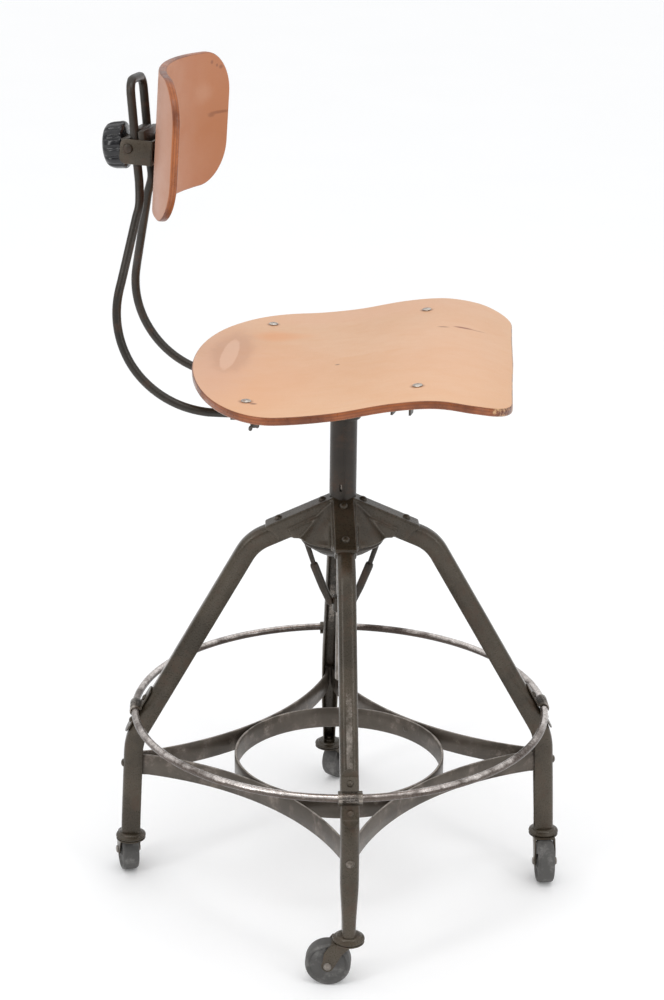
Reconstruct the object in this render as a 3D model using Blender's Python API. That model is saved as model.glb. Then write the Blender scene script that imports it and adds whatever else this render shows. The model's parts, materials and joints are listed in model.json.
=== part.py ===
"""Drafting chair: four channel legs on swivel casters, foot ring, column, plywood seat and back.

Metres, +Z up. +X is the front of the chair and +Y is the sitter's left. The floor is at Z = 0.
Everything hangs on frames (empties): the column frame, the turned base, four casters, the seat,
the clamp that slides on the back rod, and the back that tilts on the clamp.
"""

import math

import bmesh
import bpy
from mathutils import Matrix, Vector

# --- driving dimensions -------------------------------------------------------------------
GAP = 0.0003                      # left between touching pieces
COLUMN_X = 0.0030                 # column axis, measured from the middle of the footprint
COLUMN_Y = -0.0135
BASE_YAW = math.radians(6.6)      # the base stands turned under the seat

# legs: outer line of the channel in the (radius, height) plane of one leg
LEG_WIDTH = 0.020
LEG_DEPTH = 0.022
LEG_WALL = 0.002
LEG_CORNER = 0.006
LEG_INNER_R = 0.0262
LEG_KNEE = (0.110, 0.4315)        # where the shallow top meets the long slope
LEG_ANKLE = (0.2495, 0.1845)      # where the slope meets the upright foot
LEG_FOOT = (0.2553, 0.0597)
LEG_TOP_SLOPE = 0.445             # fall of the top stretch for each metre outwards
KNEE_BEND = 0.060
ANKLE_BEND = 0.090

# hub
COVER_WALL = 0.002
COVER_RADIUS = 0.050
COVER_BOTTOM = 0.430
ARM_LENGTH = 0.087
ARM_LIP = 0.009
PLATE_RADIUS = 0.0465
PLATE_TOP = 0.4285
PLATE_THICK = 0.003
DISH_FLAT = 0.018
DISH_BOTTOM = 0.4105

# column and lift
COLUMN_RADIUS = 0.0151
COLUMN_WALL = 0.002
COLUMN_BOTTOM = 0.4320
COLUMN_TOP = 0.5690
COLLAR_RADIUS = 0.0190
COLLAR_TOP = 0.5815
SPINDLE_RADIUS = 0.0110
SPINDLE_TAIL_RADIUS = 0.0060
SPINDLE_BOTTOM = 0.2520
SPINDLE_STEP = 0.4440
GUIDE_BOTTOM = 0.3380
GUIDE_TOP = 0.3560
GUIDE_RADIUS = 0.0100
RUNNING = 0.0004                  # clearance of a sliding or turning fit

# foot ring and stretchers
RING_RADIUS = 0.2366              # middle of the round bar
RING_BAR = 0.0053
RING_HEIGHT = 0.2187
STRAP_HEIGHT = 0.0254
STRAP_THICK = 0.0030
STRAP_MIDDLE = 0.1478
HOOP_RADIUS = 0.1220
STRAP_ARC = 0.3340

# casters
WHEEL_RADIUS = 0.0250
WHEEL_WIDTH = 0.0196
TRAIL = 0.0220
CHEEK_IN = 0.0106
CHEEK_OUT = 0.0124
AXLE_RADIUS = 0.0032
CROWN_BOTTOM = 0.0504
CROWN_TOP = 0.0523
CUP_BOTTOM = 0.0526
CASTER_HEADINGS = {"front": -84.0, "left": 58.7, "rear": 108.0, "right": 180.4}

# seat
SEAT_THICK = 0.0095
SEAT_HALF = 0.207
SEAT_REAR = -0.166
SEAT_FRONT = 0.184
SEAT_ROUND = 0.108                # length of the rounded rear
SEAT_CORNER = 0.053
REAR_TURNS = (90, 82, 74, 65, 55, 45, 34, 22, 11)    # degrees round the rounded rear
PANEL_STOPS = [-0.060, -0.040, -0.020, 0.0, 0.020, 0.040, 0.060, 0.080, 0.095, 0.108, 0.120]
SEAT_LINE = [(-0.175, 0.6370), (-0.120, 0.6320), (-0.060, 0.6315), (0.000, 0.6382), (0.060, 0.6505),
             (0.106, 0.6550), (0.145, 0.6502), (0.170, 0.6434), (0.195, 0.6350)]
BOLT_X = (-0.093, 0.085)
BOLT_Y = 0.153
IRON_WEBS = {"rear": (-0.1075, -0.0830), "front": (0.0580, 0.0790)}    # outer faces of the two webs
IRON_FLANGES = {"rear": (-0.1170, -0.0740), "front": (0.0480, 0.0950)}
IRON_LENGTH = 0.162
IRON_BOTTOM = 0.6003
IRON_END = 0.6240                 # the webs rise to this height at their ends
IRON_SHOULDER = 0.075             # where they start to rise
IRON_WALL = 0.0022
IRON_GAP = 0.0009
SCREW_X = -0.093
CARRIER_TOP = 0.6080
CARRIER_THICK = 0.0040

# back rod
ROD_RADIUS = 0.00475
ROD_SPREAD = 0.072
ROD_HEIGHT = 0.5922
ROD_END = -0.012
ROD_BEND_X = -0.135
ROD_BEND = 0.106
ROD_LEAN = math.radians(11.7)     # forward lean of the long straight
KINK = (-0.2173, 0.8225)
HAIRPIN_HALF = 0.0270
HAIRPIN_TOP = 0.9380
HAIRPIN_CORNER = 0.0130
HAIRPIN_LEAN = math.radians(-5.2)
HAIRPIN_ROLL = math.radians(-2.8)
BACK_YAW = math.radians(-5.6)     # the top of the rod and the back stand slightly turned

# clamp and back
CLAMP_Z = 0.8683
PIVOT_X = -0.0065                 # pivot behind the rods, in the clamp's frame
BLOCK_HALF = 0.0325
BRACKET_IN = 0.0334
BRACKET_OUT = 0.0358
BRACKET_LOW = -0.0165
BRACKET_HIGH = 0.0100
BACK_LEAN = math.radians(3.1)
BACK_TWIST = math.radians(2.1)    # the panel sits slightly out of square on its bracket
BACK_ROLL = math.radians(1.3)
BACK_SHIFT = -0.0024
BACK_RADIUS = 0.279
BACK_THICK = 0.0088
BACK_HALF = 0.153
BACK_HEIGHT = 0.1486
BACK_CROWN = 0.0010
BACK_RISE = 0.0162
BACK_CORNER = 0.0475
PANEL_REAR = 0.0204               # rear face of the back panel, forward of the rods
KNOB_RADIUS = 0.0252
KNOB_FLUTES = 14

COLOURS = {
    "gunmetal": ((0.075, 0.068, 0.055), 0.42, 0.85),
    "dark_steel": ((0.035, 0.032, 0.028), 0.5, 0.8),
    "worn_steel": ((0.30, 0.27, 0.24), 0.38, 1.0),
    "bright_steel": ((0.55, 0.54, 0.52), 0.3, 1.0),
    "seat_ply": ((0.72, 0.45, 0.29), 0.45, 0.0),
    "back_ply": ((0.55, 0.30, 0.19), 0.45, 0.0),
    "bakelite": ((0.012, 0.012, 0.014), 0.22, 0.0),
    "caster_tread": ((0.05, 0.048, 0.045), 0.7, 0.0),
}


# --- small tools --------------------------------------------------------------------------
def material(name):
    """One Principled material for each sub-part, coloured from the palette."""
    colour, roughness, metallic = COLOURS[name]
    made = bpy.data.materials.new(name)
    made.use_nodes = True
    shader = made.node_tree.nodes["Principled BSDF"]
    shader.inputs["Base Color"].default_value = (*colour, 1.0)
    shader.inputs["Roughness"].default_value = roughness
    shader.inputs["Metallic"].default_value = metallic
    return made


def frame(name, parent=None, place=Matrix()):
    empty = bpy.data.objects.new(name, None)
    bpy.context.scene.collection.objects.link(empty)
    empty.parent = parent
    empty.matrix_local = place
    return empty


def node(name, bm, finish, parent, place=Matrix(), smooth=40.0):
    """Close the bmesh into a named object of its own."""
    bmesh.ops.remove_doubles(bm, verts=bm.verts, dist=1e-7)
    bmesh.ops.recalc_face_normals(bm, faces=bm.faces)
    mesh = bpy.data.meshes.new(name)
    bm.to_mesh(mesh)
    bm.free()
    mesh.shade_smooth()
    mesh.set_sharp_from_angle(angle=math.radians(smooth))
    mesh.materials.append(material(finish))
    made = bpy.data.objects.new(name, mesh)
    bpy.context.scene.collection.objects.link(made)
    made.parent = parent
    made.matrix_local = place
    return made


def combined(target, other, operation):
    """Boolean of two bmeshes, worked out by a modifier; both inputs are freed."""
    objects = []
    for bm in (target, other):
        bmesh.ops.remove_doubles(bm, verts=bm.verts, dist=1e-7)
        bmesh.ops.recalc_face_normals(bm, faces=bm.faces)
        mesh = bpy.data.meshes.new("working")
        bm.to_mesh(mesh)
        bm.free()
        objects.append(bpy.data.objects.new("working", mesh))
        bpy.context.scene.collection.objects.link(objects[-1])
    cut = objects[0].modifiers.new("cut", "BOOLEAN")
    cut.operation = operation
    cut.solver = "EXACT"
    cut.object = objects[1]
    depsgraph = bpy.context.evaluated_depsgraph_get()
    result = bmesh.new()
    result.from_object(objects[0], depsgraph)
    for each in objects:
        bpy.data.objects.remove(each)
    return result


def joined(first, *others):
    for other in others:
        first = combined(first, other, "UNION")
    return first


def cut(first, *others):
    for other in others:
        first = combined(first, other, "DIFFERENCE")
    return first


def turned(profile, steps=32, closed=True):
    """Spin a profile of (radius, height) points round Z; an open profile starts and ends on the axis."""
    bm = bmesh.new()
    verts = [bm.verts.new((radius, 0.0, height)) for radius, height in profile]
    edges = [bm.edges.new(pair) for pair in zip(verts, verts[1:])]
    if closed:
        edges.append(bm.edges.new((verts[-1], verts[0])))
    bmesh.ops.spin(bm, geom=verts + edges, cent=(0, 0, 0), axis=(0, 0, 1), angle=math.tau,
                   steps=steps, use_merge=True, use_duplicate=False)
    bmesh.ops.remove_doubles(bm, verts=bm.verts, dist=1e-6)
    bmesh.ops.dissolve_degenerate(bm, edges=bm.edges, dist=1e-7)
    return bm


def rod(radius, low, high, steps=20):
    return turned([(0, low), (radius, low), (radius, high), (0, high)], steps, closed=False)


def dome(radius, height, sink=0.0008, steps=12):
    """Rivet head that sits on Z = 0 with its base sunk a little into what it holds."""
    return turned([(0, -sink), (radius, -sink), (radius, height * 0.25), (radius * 0.72, height * 0.8),
                   (0, height)], steps, closed=False)


def prism(outline, low, high):
    """Extrude a flat outline of (x, y) points from Z low to Z high."""
    bm = bmesh.new()
    face = bm.faces.new([bm.verts.new((x, y, low)) for x, y in outline])
    made = bmesh.ops.extrude_face_region(bm, geom=[face])
    bmesh.ops.translate(bm, vec=(0, 0, high - low),
                        verts=[item for item in made["geom"] if isinstance(item, bmesh.types.BMVert)])
    return bm


def box(low, high):
    corners = [(low[0], low[1]), (high[0], low[1]), (high[0], high[1]), (low[0], high[1])]
    return prism(corners, low[2], high[2])


def moved(bm, place):
    bmesh.ops.transform(bm, matrix=place, verts=bm.verts)
    return bm


def arc(centre, radius, start, end, steps):
    """Points of an arc, angles in degrees."""
    angles = (math.radians(start + (end - start) * i / steps) for i in range(steps + 1))
    return [(centre[0] + radius * math.cos(a), centre[1] + radius * math.sin(a)) for a in angles]


def filleted(before, corner, after, radius, steps):
    """The points of a rounded corner between two straight lines in a plane."""
    corner = Vector(corner)
    first = (Vector(before) - corner).normalized()
    second = (Vector(after) - corner).normalized()
    half = first.angle(second) / 2
    centre = corner + (first + second).normalized() * (radius / math.sin(half))
    reach = radius / math.tan(half)
    start = corner + first * reach - centre
    turn = start.angle_signed(corner + second * reach - centre)
    points = []
    for i in range(steps + 1):
        angle = -turn * i / steps
        points.append((centre.x + start.x * math.cos(angle) - start.y * math.sin(angle),
                       centre.y + start.x * math.sin(angle) + start.y * math.cos(angle)))
    return points


def lofted(rings, capped=True):
    """Skin a row of closed rings that all have the same number of points."""
    bm = bmesh.new()
    loops = [[bm.verts.new(point) for point in ring] for ring in rings]
    count = len(loops[0])
    for low, high in zip(loops, loops[1:]):
        for i in range(count):
            bm.faces.new((low[i], low[(i + 1) % count], high[(i + 1) % count], high[i]))
    if capped:
        bm.faces.new(loops[0])
        bm.faces.new(loops[-1])
    return bm


def tangents(points):
    """Direction of travel at each point of a row."""
    vectors = [Vector(point) for point in points]
    result = []
    for i in range(len(vectors)):
        before = vectors[max(i - 1, 0)]
        after = vectors[min(i + 1, len(vectors) - 1)]
        result.append((after - before).normalized())
    return result


def ribbon(points, thick, low, high):
    """A flat strap on edge that follows a row of (x, y) points."""
    left, right = [], []
    for i, (x, y) in enumerate(points):
        here = Vector((x, y))
        sides = []
        if i > 0:
            sides.append((here - Vector(points[i - 1])).normalized())
        if i < len(points) - 1:
            sides.append((Vector(points[i + 1]) - here).normalized())
        mean = sum(sides, Vector((0, 0))).normalized()
        reach = thick / 2 / max(mean.dot(sides[0]), 0.3)
        normal = Vector((-mean.y, mean.x)) * reach
        left.append(tuple(here + normal))
        right.append(tuple(here - normal))
    return prism(left + right[::-1], low, high)


def smooth_line(points, x):
    """Height at x on a smooth curve through the given points."""
    index = max(i for i in range(len(points) - 1) if points[i][0] <= x or i == 0)
    slopes = []
    for i in range(len(points)):
        low = points[max(i - 1, 0)]
        high = points[min(i + 1, len(points) - 1)]
        slopes.append((high[1] - low[1]) / (high[0] - low[0]))
    (x0, z0), (x1, z1) = points[index], points[index + 1]
    span = x1 - x0
    t = (x - x0) / span
    return ((2 * t ** 3 - 3 * t ** 2 + 1) * z0 + (t ** 3 - 2 * t ** 2 + t) * span * slopes[index]
            + (-2 * t ** 3 + 3 * t ** 2) * z1 + (t ** 3 - t ** 2) * span * slopes[index + 1])


def about_z(angle):
    return Matrix.Rotation(angle, 4, "Z")


ALONG_X = Matrix.Rotation(math.radians(90), 4, "Y")     # turns +Z to +X
ALONG_Y = Matrix.Rotation(math.radians(-90), 4, "X")    # turns +Z to +Y
UPRIGHT = Matrix.Rotation(math.radians(90), 4, "X")     # turns a flat outline's +Y to +Z
# stands a flat outline in the YZ plane
ACROSS = Matrix(((0, 0, 1, 0), (1, 0, 0, 0), (0, 1, 0, 0), (0, 0, 0, 1)))


def upright(outline, half, middle=0.0):
    """Extrude an outline drawn in the XZ plane to both sides of Y = middle."""
    return moved(prism(outline, -half, half), Matrix.Translation((0, middle, 0)) @ UPRIGHT)


# --- legs ---------------------------------------------------------------------------------
def leg_line():
    """Outer line of a leg from the hub to the floor end, as (radius, height)."""
    start = (LEG_INNER_R, LEG_KNEE[1] + LEG_TOP_SLOPE * (LEG_KNEE[0] - LEG_INNER_R))
    knee = filleted(start, LEG_KNEE, LEG_ANKLE, KNEE_BEND, 5)
    ankle = filleted(LEG_KNEE, LEG_ANKLE, LEG_FOOT, ANKLE_BEND, 4)
    return [start] + knee + ankle + [LEG_FOOT]


def channel_section():
    """Open channel: rounded outer face at y = 0, open side at y = -depth."""
    side = LEG_WIDTH / 2
    inner = LEG_CORNER - LEG_WALL
    outer = ([(side, -LEG_DEPTH)] + arc((side - LEG_CORNER, -LEG_CORNER), LEG_CORNER, 0, 90, 2)
             + arc((LEG_CORNER - side, -LEG_CORNER), LEG_CORNER, 90, 180, 2) + [(-side, -LEG_DEPTH)])
    hollow = ([(LEG_WALL - side, -LEG_DEPTH)] + arc((LEG_CORNER - side, -LEG_CORNER), inner, 180, 90, 2)
              + arc((side - LEG_CORNER, -LEG_CORNER), inner, 90, 0, 2) + [(side - LEG_WALL, -LEG_DEPTH)])
    return outer + hollow


def leg():
    line = leg_line()
    section = channel_section()
    rings = []
    for (radius, height), direction in zip(line, tangents(line)):
        outward = Vector((-direction.y, direction.x))
        if outward.x < 0:
            outward = -outward
        rings.append([(radius + outward.x * y, x, height + outward.y * y) for x, y in section])
    body = lofted(rings)
    place = Matrix.Translation((strap_face() - 0.0002, 0, STRAP_MIDDLE)) @ ALONG_X
    head = moved(dome(0.0048, 0.0030, steps=10), place)
    return joined(body, head)


def strap_face():
    """Radius of the leg's outer face at the height of the stretchers."""
    share = (STRAP_MIDDLE - LEG_FOOT[1]) / (LEG_ANKLE[1] - LEG_FOOT[1])
    return LEG_FOOT[0] + (LEG_ANKLE[0] - LEG_FOOT[0]) * share


# --- hub ----------------------------------------------------------------------------------
def ridge(radius, above=0.0):
    """Height of a leg's top face, or of a line above it, near the hub."""
    return LEG_KNEE[1] + LEG_TOP_SLOPE * (LEG_KNEE[0] - radius) + above


def cover_shape(inset):
    """The pressed cover as a solid, drawn in by inset on every side but the bottom."""
    lift = GAP * 1.5 + COVER_WALL - inset * 1.06
    bottom = COVER_BOTTOM if inset == 0 else COVER_BOTTOM - 0.002
    skirt = COVER_RADIUS - inset
    length = ARM_LENGTH + (0.002 if inset else 0)
    half = LEG_WIDTH / 2 + GAP + COVER_WALL - inset
    lip = ARM_LIP if inset == 0 else ARM_LIP + 0.03
    shape = turned([(0, bottom), (skirt, bottom), (skirt, ridge(skirt, lift - 0.0070)),
                    (skirt - 0.004, ridge(skirt - 0.004, lift - 0.0028)),
                    (0.013, ridge(0.013, lift - 0.0012)), (0, ridge(0.013, lift - 0.0012))],
                   28, closed=False)
    for quarter, ease in enumerate((0.0, 0.0001, 0.0, 0.0001)):
        high = lift - ease
        arm = [(0.010, bottom - ease), (skirt - 0.006, bottom - ease),
               (skirt + 0.004, ridge(skirt + 0.004, high - lip)), (length, ridge(length, high - lip)),
               (length, ridge(length, high)), (0.010, ridge(0.010, high))]
        shape = joined(shape, moved(upright(arm, half + ease), about_z(quarter * math.pi / 2)))
    return shape


def hub_cover(parent):
    shell = cut(cover_shape(0.0), cover_shape(COVER_WALL))
    shell = cut(shell, rod(COLUMN_RADIUS + GAP * 2, 0.40, 0.50, 32))
    tilt = Matrix.Rotation(math.atan(LEG_TOP_SLOPE), 4, "Y")
    for quarter in range(4):
        for radius in (0.0232, 0.0725):
            top = Vector((radius, 0, ridge(radius, GAP * 1.5 + COVER_WALL)))
            shell = joined(shell, moved(dome(0.0044, 0.0030, steps=8),
                                        about_z(quarter * math.pi / 2) @ Matrix.Translation(top) @ tilt))
    return node("hub_cover", shell, "gunmetal", parent)


def hub_plate(parent):
    """Lower dish of the hub, with a guide hole for the spindle's tail."""
    hole = SPINDLE_TAIL_RADIUS + RUNNING
    dish = turned([(hole, DISH_BOTTOM), (DISH_FLAT, DISH_BOTTOM), (PLATE_RADIUS, PLATE_TOP - PLATE_THICK),
                   (PLATE_RADIUS, PLATE_TOP), (DISH_FLAT, DISH_BOTTOM + PLATE_THICK),
                   (hole, DISH_BOTTOM + PLATE_THICK)], 32)
    return node("hub_plate", dish, "dark_steel", parent)


def stay(name, parent, turn):
    """Thin bar with a thicker sleeve, from the hub plate down to the spindle's lower guide."""
    top = Vector((0.0390, 0, 0.4175))
    bottom = Vector((GUIDE_RADIUS + 0.0052, 0, GUIDE_TOP - 0.0090))
    axis = (bottom - top).normalized()
    length = (bottom - top).length
    profile = [(0, 0), (0.0027, 0), (0.0027, length * 0.30), (0.0043, length * 0.32),
               (0.0043, length), (0, length)]
    place = Matrix.Translation(top) @ axis.to_track_quat("Z", "Y").to_matrix().to_4x4()
    return node(name, turned(profile, 12, closed=False), "dark_steel", parent, about_z(turn) @ place)


def lower_guide(parent):
    hole = SPINDLE_TAIL_RADIUS + RUNNING
    guide = turned([(hole, GUIDE_BOTTOM), (GUIDE_RADIUS - 0.001, GUIDE_BOTTOM),
                    (GUIDE_RADIUS, GUIDE_BOTTOM + 0.001), (GUIDE_RADIUS, GUIDE_TOP), (hole, GUIDE_TOP)], 24)
    return node("lower_guide", guide, "dark_steel", parent)


# --- column -------------------------------------------------------------------------------
def column_tube(parent):
    tube = turned([(COLUMN_RADIUS - COLUMN_WALL, COLUMN_BOTTOM), (COLUMN_RADIUS, COLUMN_BOTTOM),
                   (COLUMN_RADIUS, COLUMN_TOP), (COLUMN_RADIUS - COLUMN_WALL, COLUMN_TOP)], 32)
    slot = box((-0.0015, -0.020, 0.4860), (0.0015, -0.010, 0.4960))
    return node("column_tube", cut(tube, slot), "gunmetal", parent)


def column_collar(parent):
    """Guide collar on top of the column, with a tapped hole for the height lock."""
    hole = SPINDLE_RADIUS + RUNNING
    low = COLUMN_TOP + GAP
    collar = turned([(hole, low - 0.012), (COLUMN_RADIUS - COLUMN_WALL - GAP, low - 0.012),
                     (COLUMN_RADIUS - COLUMN_WALL - GAP, low), (COLLAR_RADIUS, low),
                     (COLLAR_RADIUS, COLLAR_TOP - 0.001), (COLLAR_RADIUS - 0.001, COLLAR_TOP),
                     (hole, COLLAR_TOP)], 32)
    drill = moved(rod(0.0029, 0.008, 0.022, 12), Matrix.Translation((0, 0, lock_height())) @ ALONG_Y)
    return node("column_collar", cut(collar, drill), "dark_steel", parent)


def lock_height():
    return (COLUMN_TOP + COLLAR_TOP) / 2


def lock_screw(parent):
    """Thumb screw on the far side of the collar that locks the height."""
    screw = rod(0.0026, SPINDLE_RADIUS + 0.0009, 0.0300, 12)
    grip = prism([(-0.009, -0.004), (0.009, -0.004), (0.007, 0.004), (-0.007, 0.004)], 0.0270, 0.0370)
    return node("lock_screw", joined(screw, grip), "worn_steel", parent,
                Matrix.Translation((0, 0, lock_height())) @ ALONG_Y)


def spindle(parent):
    top = 0.5990
    profile = [(0, SPINDLE_BOTTOM), (SPINDLE_TAIL_RADIUS - 0.001, SPINDLE_BOTTOM),
               (SPINDLE_TAIL_RADIUS, SPINDLE_BOTTOM + 0.001), (SPINDLE_TAIL_RADIUS, SPINDLE_STEP),
               (SPINDLE_RADIUS, SPINDLE_STEP + 0.003), (SPINDLE_RADIUS, top), (0, top)]
    return node("spindle", turned(profile, 24, closed=False), "worn_steel", parent)


# --- foot ring, clips and stretchers ------------------------------------------------------
def foot_ring(parent):
    section = arc((RING_RADIUS, RING_HEIGHT), RING_BAR, 0, 315, 7)
    return node("foot_ring", turned(section, 52), "worn_steel", parent, smooth=60)


def clip_frame():
    """Frame on a leg's sloping face beside the foot ring: Z points down the leg, X away from it."""
    down = (Vector(LEG_ANKLE) - Vector(LEG_KNEE)).normalized()
    out = Vector((-down.y, down.x))
    away = (Vector((RING_RADIUS, RING_HEIGHT)) - Vector(LEG_KNEE)).dot(down)
    foot = Vector(LEG_KNEE) + down * away
    standoff = (Vector((RING_RADIUS, RING_HEIGHT)) - foot).dot(out)
    place = Matrix(((out.x, 0, down.x, foot.x), (0, 1, 0, 0), (out.y, 0, down.y, foot.y), (0, 0, 0, 1)))
    return place, standoff


def ring_clip(name, parent, turn):
    """Saddle clip over the ring, with a tongue and a rivet above and below."""
    place, standoff = clip_frame()
    thick, reach = 0.0015, 0.0215
    inner = RING_BAR + 0.0008
    outer = inner + thick
    low = GAP
    high = low + thick
    inside = arc((standoff, 0), inner, 90, -90, 8)
    outside = arc((standoff, 0), outer, -90, 90, 8)
    outlines = []
    for end in (reach, outer + 0.001):
        foot = [(low, -inner), (low, -end), (high, -end), (high, -outer)]
        outlines.append([(low, end), (low, inner)] + inside + foot + outside + [(high, outer), (high, end)])
    tongue, saddle = outlines
    body = joined(upright(tongue, 0.0090), upright(saddle, 0.0125))
    for side in (-1, 1):
        head = Matrix.Translation((high, 0, side * 0.0152)) @ ALONG_X
        body = joined(body, moved(dome(0.0037, 0.0024), head))
    return node(name, body, "worn_steel", parent, about_z(turn) @ place)


def stretcher(name, parent, turn, deep):
    """Strap on edge from one leg to the next, bowed in to touch the hoop; deep sets the lap of its feet."""
    middle = (HOOP_RADIUS + GAP * 1.5 + STRAP_THICK / 2) / math.sqrt(2)
    centre = middle + STRAP_ARC / math.sqrt(2)
    tail = 0.0032
    edge = 0.2280
    start = math.degrees(math.atan2(tail - centre, edge - centre))
    end = math.degrees(math.atan2(edge - centre, tail - centre))
    if start < 0:
        start += 360
    if end < 0:
        end += 360
    bow = arc((centre, centre), STRAP_ARC, start, end, 14)
    foot = strap_face() - LEG_WALL - 0.0012 - STRAP_THICK / 2 - (0.0 if deep else STRAP_THICK + GAP)
    lap = -0.0055 if deep else -0.0010
    points = [(foot, lap), (foot, tail), (edge, tail)] + bow[1:-1] + [(tail, edge), (tail, foot), (lap, foot)]
    low = STRAP_MIDDLE - STRAP_HEIGHT / 2
    return node(name, ribbon(points, STRAP_THICK, low, low + STRAP_HEIGHT), "gunmetal", parent, about_z(turn))


def hoop(parent):
    low = STRAP_MIDDLE - STRAP_HEIGHT / 2
    high = low + STRAP_HEIGHT
    inner = HOOP_RADIUS - STRAP_THICK
    ring = turned([(inner, low), (HOOP_RADIUS, low), (HOOP_RADIUS, high), (inner, high)], 48)
    return node("stretcher_hoop", ring, "gunmetal", parent)


# --- casters ------------------------------------------------------------------------------
def caster_cup(name, parent):
    """Raceway cup with the plug that is driven into the leg, bored for the fork's kingpin."""
    cup = turned([(0, CUP_BOTTOM + 0.0005), (0.0155, CUP_BOTTOM), (0.0172, CUP_BOTTOM + 0.0012),
                  (0.0168, CUP_BOTTOM + 0.0035), (0.0128, LEG_FOOT[1] - 0.0014), (0, LEG_FOOT[1] - 0.0014)],
                 20, closed=False)
    plug = rod(0.0071, 0.0560, 0.0820, 12)
    bore = rod(0.0044, 0.045, 0.066, 10)
    return node(name, cut(joined(cup, plug), bore), "gunmetal", parent)


def caster_fork(name, parent):
    """Crown, kingpin and two cheeks that trail to the axle."""
    crown = joined(rod(0.0163, CROWN_BOTTOM, CROWN_TOP, 24), box((-0.0180, -CHEEK_OUT, CROWN_BOTTOM),
                                                             (0.0060, CHEEK_OUT, CROWN_TOP)))
    shape = joined(crown, rod(0.0040, CROWN_TOP - 0.001, 0.0640, 10))
    eye = arc((-TRAIL, WHEEL_RADIUS), 0.0075, 150, 330, 8)
    cheek = [(-0.0180, CROWN_TOP - 0.0002)] + eye + [(0.0060, CROWN_TOP - 0.0002)]
    middle = (CHEEK_IN + CHEEK_OUT) / 2
    for side in (-1, 1):
        shape = joined(shape, upright(cheek, (CHEEK_OUT - CHEEK_IN) / 2, side * middle))
    axle = Matrix.Translation((-TRAIL, 0, WHEEL_RADIUS)) @ ALONG_Y
    hole = moved(rod(AXLE_RADIUS + GAP, -0.02, 0.02, 12), axle)
    return node(name, cut(shape, hole), "gunmetal", parent)


def caster_wheel(name, parent):
    half = WHEEL_WIDTH / 2
    bore = AXLE_RADIUS + GAP
    section = [(bore, -half), (0.0080, -half), (0.0095, -half + 0.0025), (0.0205, -half + 0.0020),
               (WHEEL_RADIUS - 0.0020, -half), (WHEEL_RADIUS, -half + 0.0024)]
    profile = section + [(radius, -height) for radius, height in reversed(section)]
    place = Matrix.Translation((-TRAIL, 0, WHEEL_RADIUS)) @ ALONG_Y
    return node(name, turned(profile, 24), "caster_tread", parent, place)


def caster_axle(name, parent):
    head = CHEEK_OUT + GAP
    tip = head + 0.0019
    profile = [(0, -tip), (0.0032, -tip), (0.0046, -head - 0.0006), (0.0046, -head), (AXLE_RADIUS, -head),
               (AXLE_RADIUS, head), (0.0046, head), (0.0046, head + 0.0006), (0.0032, tip), (0, tip)]
    place = Matrix.Translation((-TRAIL, 0, WHEEL_RADIUS)) @ ALONG_Y
    return node(name, turned(profile, 12, closed=False), "worn_steel", parent, place)


# --- seat ---------------------------------------------------------------------------------
def seat_height(x):
    """Top face of the seat over x; the panel is bent one way only."""
    return smooth_line(SEAT_LINE, x)


def slab(stations, edge, surface):
    """A panel skinned from one end to the other.

    A station is (along, half, normal along, normal across) of one side of the outline; edge is a list of
    (inset, depth) round the rim; surface gives the point for (along, across, depth).
    """
    bm = bmesh.new()
    loops = []
    for along, half, out_along, out_across in stations:
        ring = [(along - inset * out_along, max(half - inset * out_across, 0.0), depth)
                for inset, depth in edge]
        sides = [[bm.verts.new(surface(x, y * hand, depth)) for x, y, depth in ring] for hand in (1, -1)]
        loops.append(sides)
    last = len(edge) - 1
    for (left, right), (next_left, next_right) in zip(loops, loops[1:]):
        for side, following in ((left, next_left), (right, next_right)):
            for i in range(last):
                bm.faces.new((side[i], side[i + 1], following[i + 1], following[i]))
        for i in (0, last):
            bm.faces.new((left[i], right[i], next_right[i], next_left[i]))
    for left, right in (loops[0], loops[-1]):
        for i in range(last):
            bm.faces.new((left[i], left[i + 1], right[i + 1], right[i]))
    bmesh.ops.remove_doubles(bm, verts=bm.verts, dist=1e-7)
    return bm


def rim(thick, inset):
    """Softly rounded edge of plywood, from the top face down to the bottom face."""
    return [(inset, 0.0), (inset * 0.28, -inset * 0.4), (0.0, -inset * 1.2), (0.0, inset * 1.2 - thick),
            (inset * 0.28, inset * 0.4 - thick), (inset, -thick)]


def strip_stops():
    """Where the panel's flat strips meet, from rear to front."""
    return [SEAT_REAR + SEAT_ROUND * (1 - math.sin(math.radians(turn))) for turn in REAR_TURNS] + PANEL_STOPS


def panel_height(x):
    """Height of the panel's flat strips over x."""
    stops = strip_stops()
    low = max([stop for stop in stops if stop <= x], default=stops[0])
    high = min([stop for stop in stops if stop > x], default=stops[-1])
    if high <= low:
        return seat_height(x)
    share = (x - low) / (high - low)
    return seat_height(low) * (1 - share) + seat_height(high) * share


def seat_stations():
    """Rounded rear, straight sides and rounded front corners."""
    turn_x = SEAT_REAR + SEAT_ROUND
    stations = []
    for degrees in REAR_TURNS:
        angle = math.radians(degrees)
        normal = Vector((-math.sin(angle) / SEAT_ROUND, math.cos(angle) / SEAT_HALF)).normalized()
        half = SEAT_HALF * max(math.cos(angle), 0.0)
        stations.append((turn_x - SEAT_ROUND * math.sin(angle), half, *normal))
    for x in PANEL_STOPS:
        stations.append((x, SEAT_HALF, 0.0, 1.0))
    for degrees in (0, 15, 30, 45, 60, 75, 90):
        angle = math.radians(degrees)
        stations.append((SEAT_FRONT - SEAT_CORNER * (1 - math.sin(angle)),
                         SEAT_HALF - SEAT_CORNER * (1 - math.cos(angle)), math.sin(angle), math.cos(angle)))
    return stations


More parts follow.
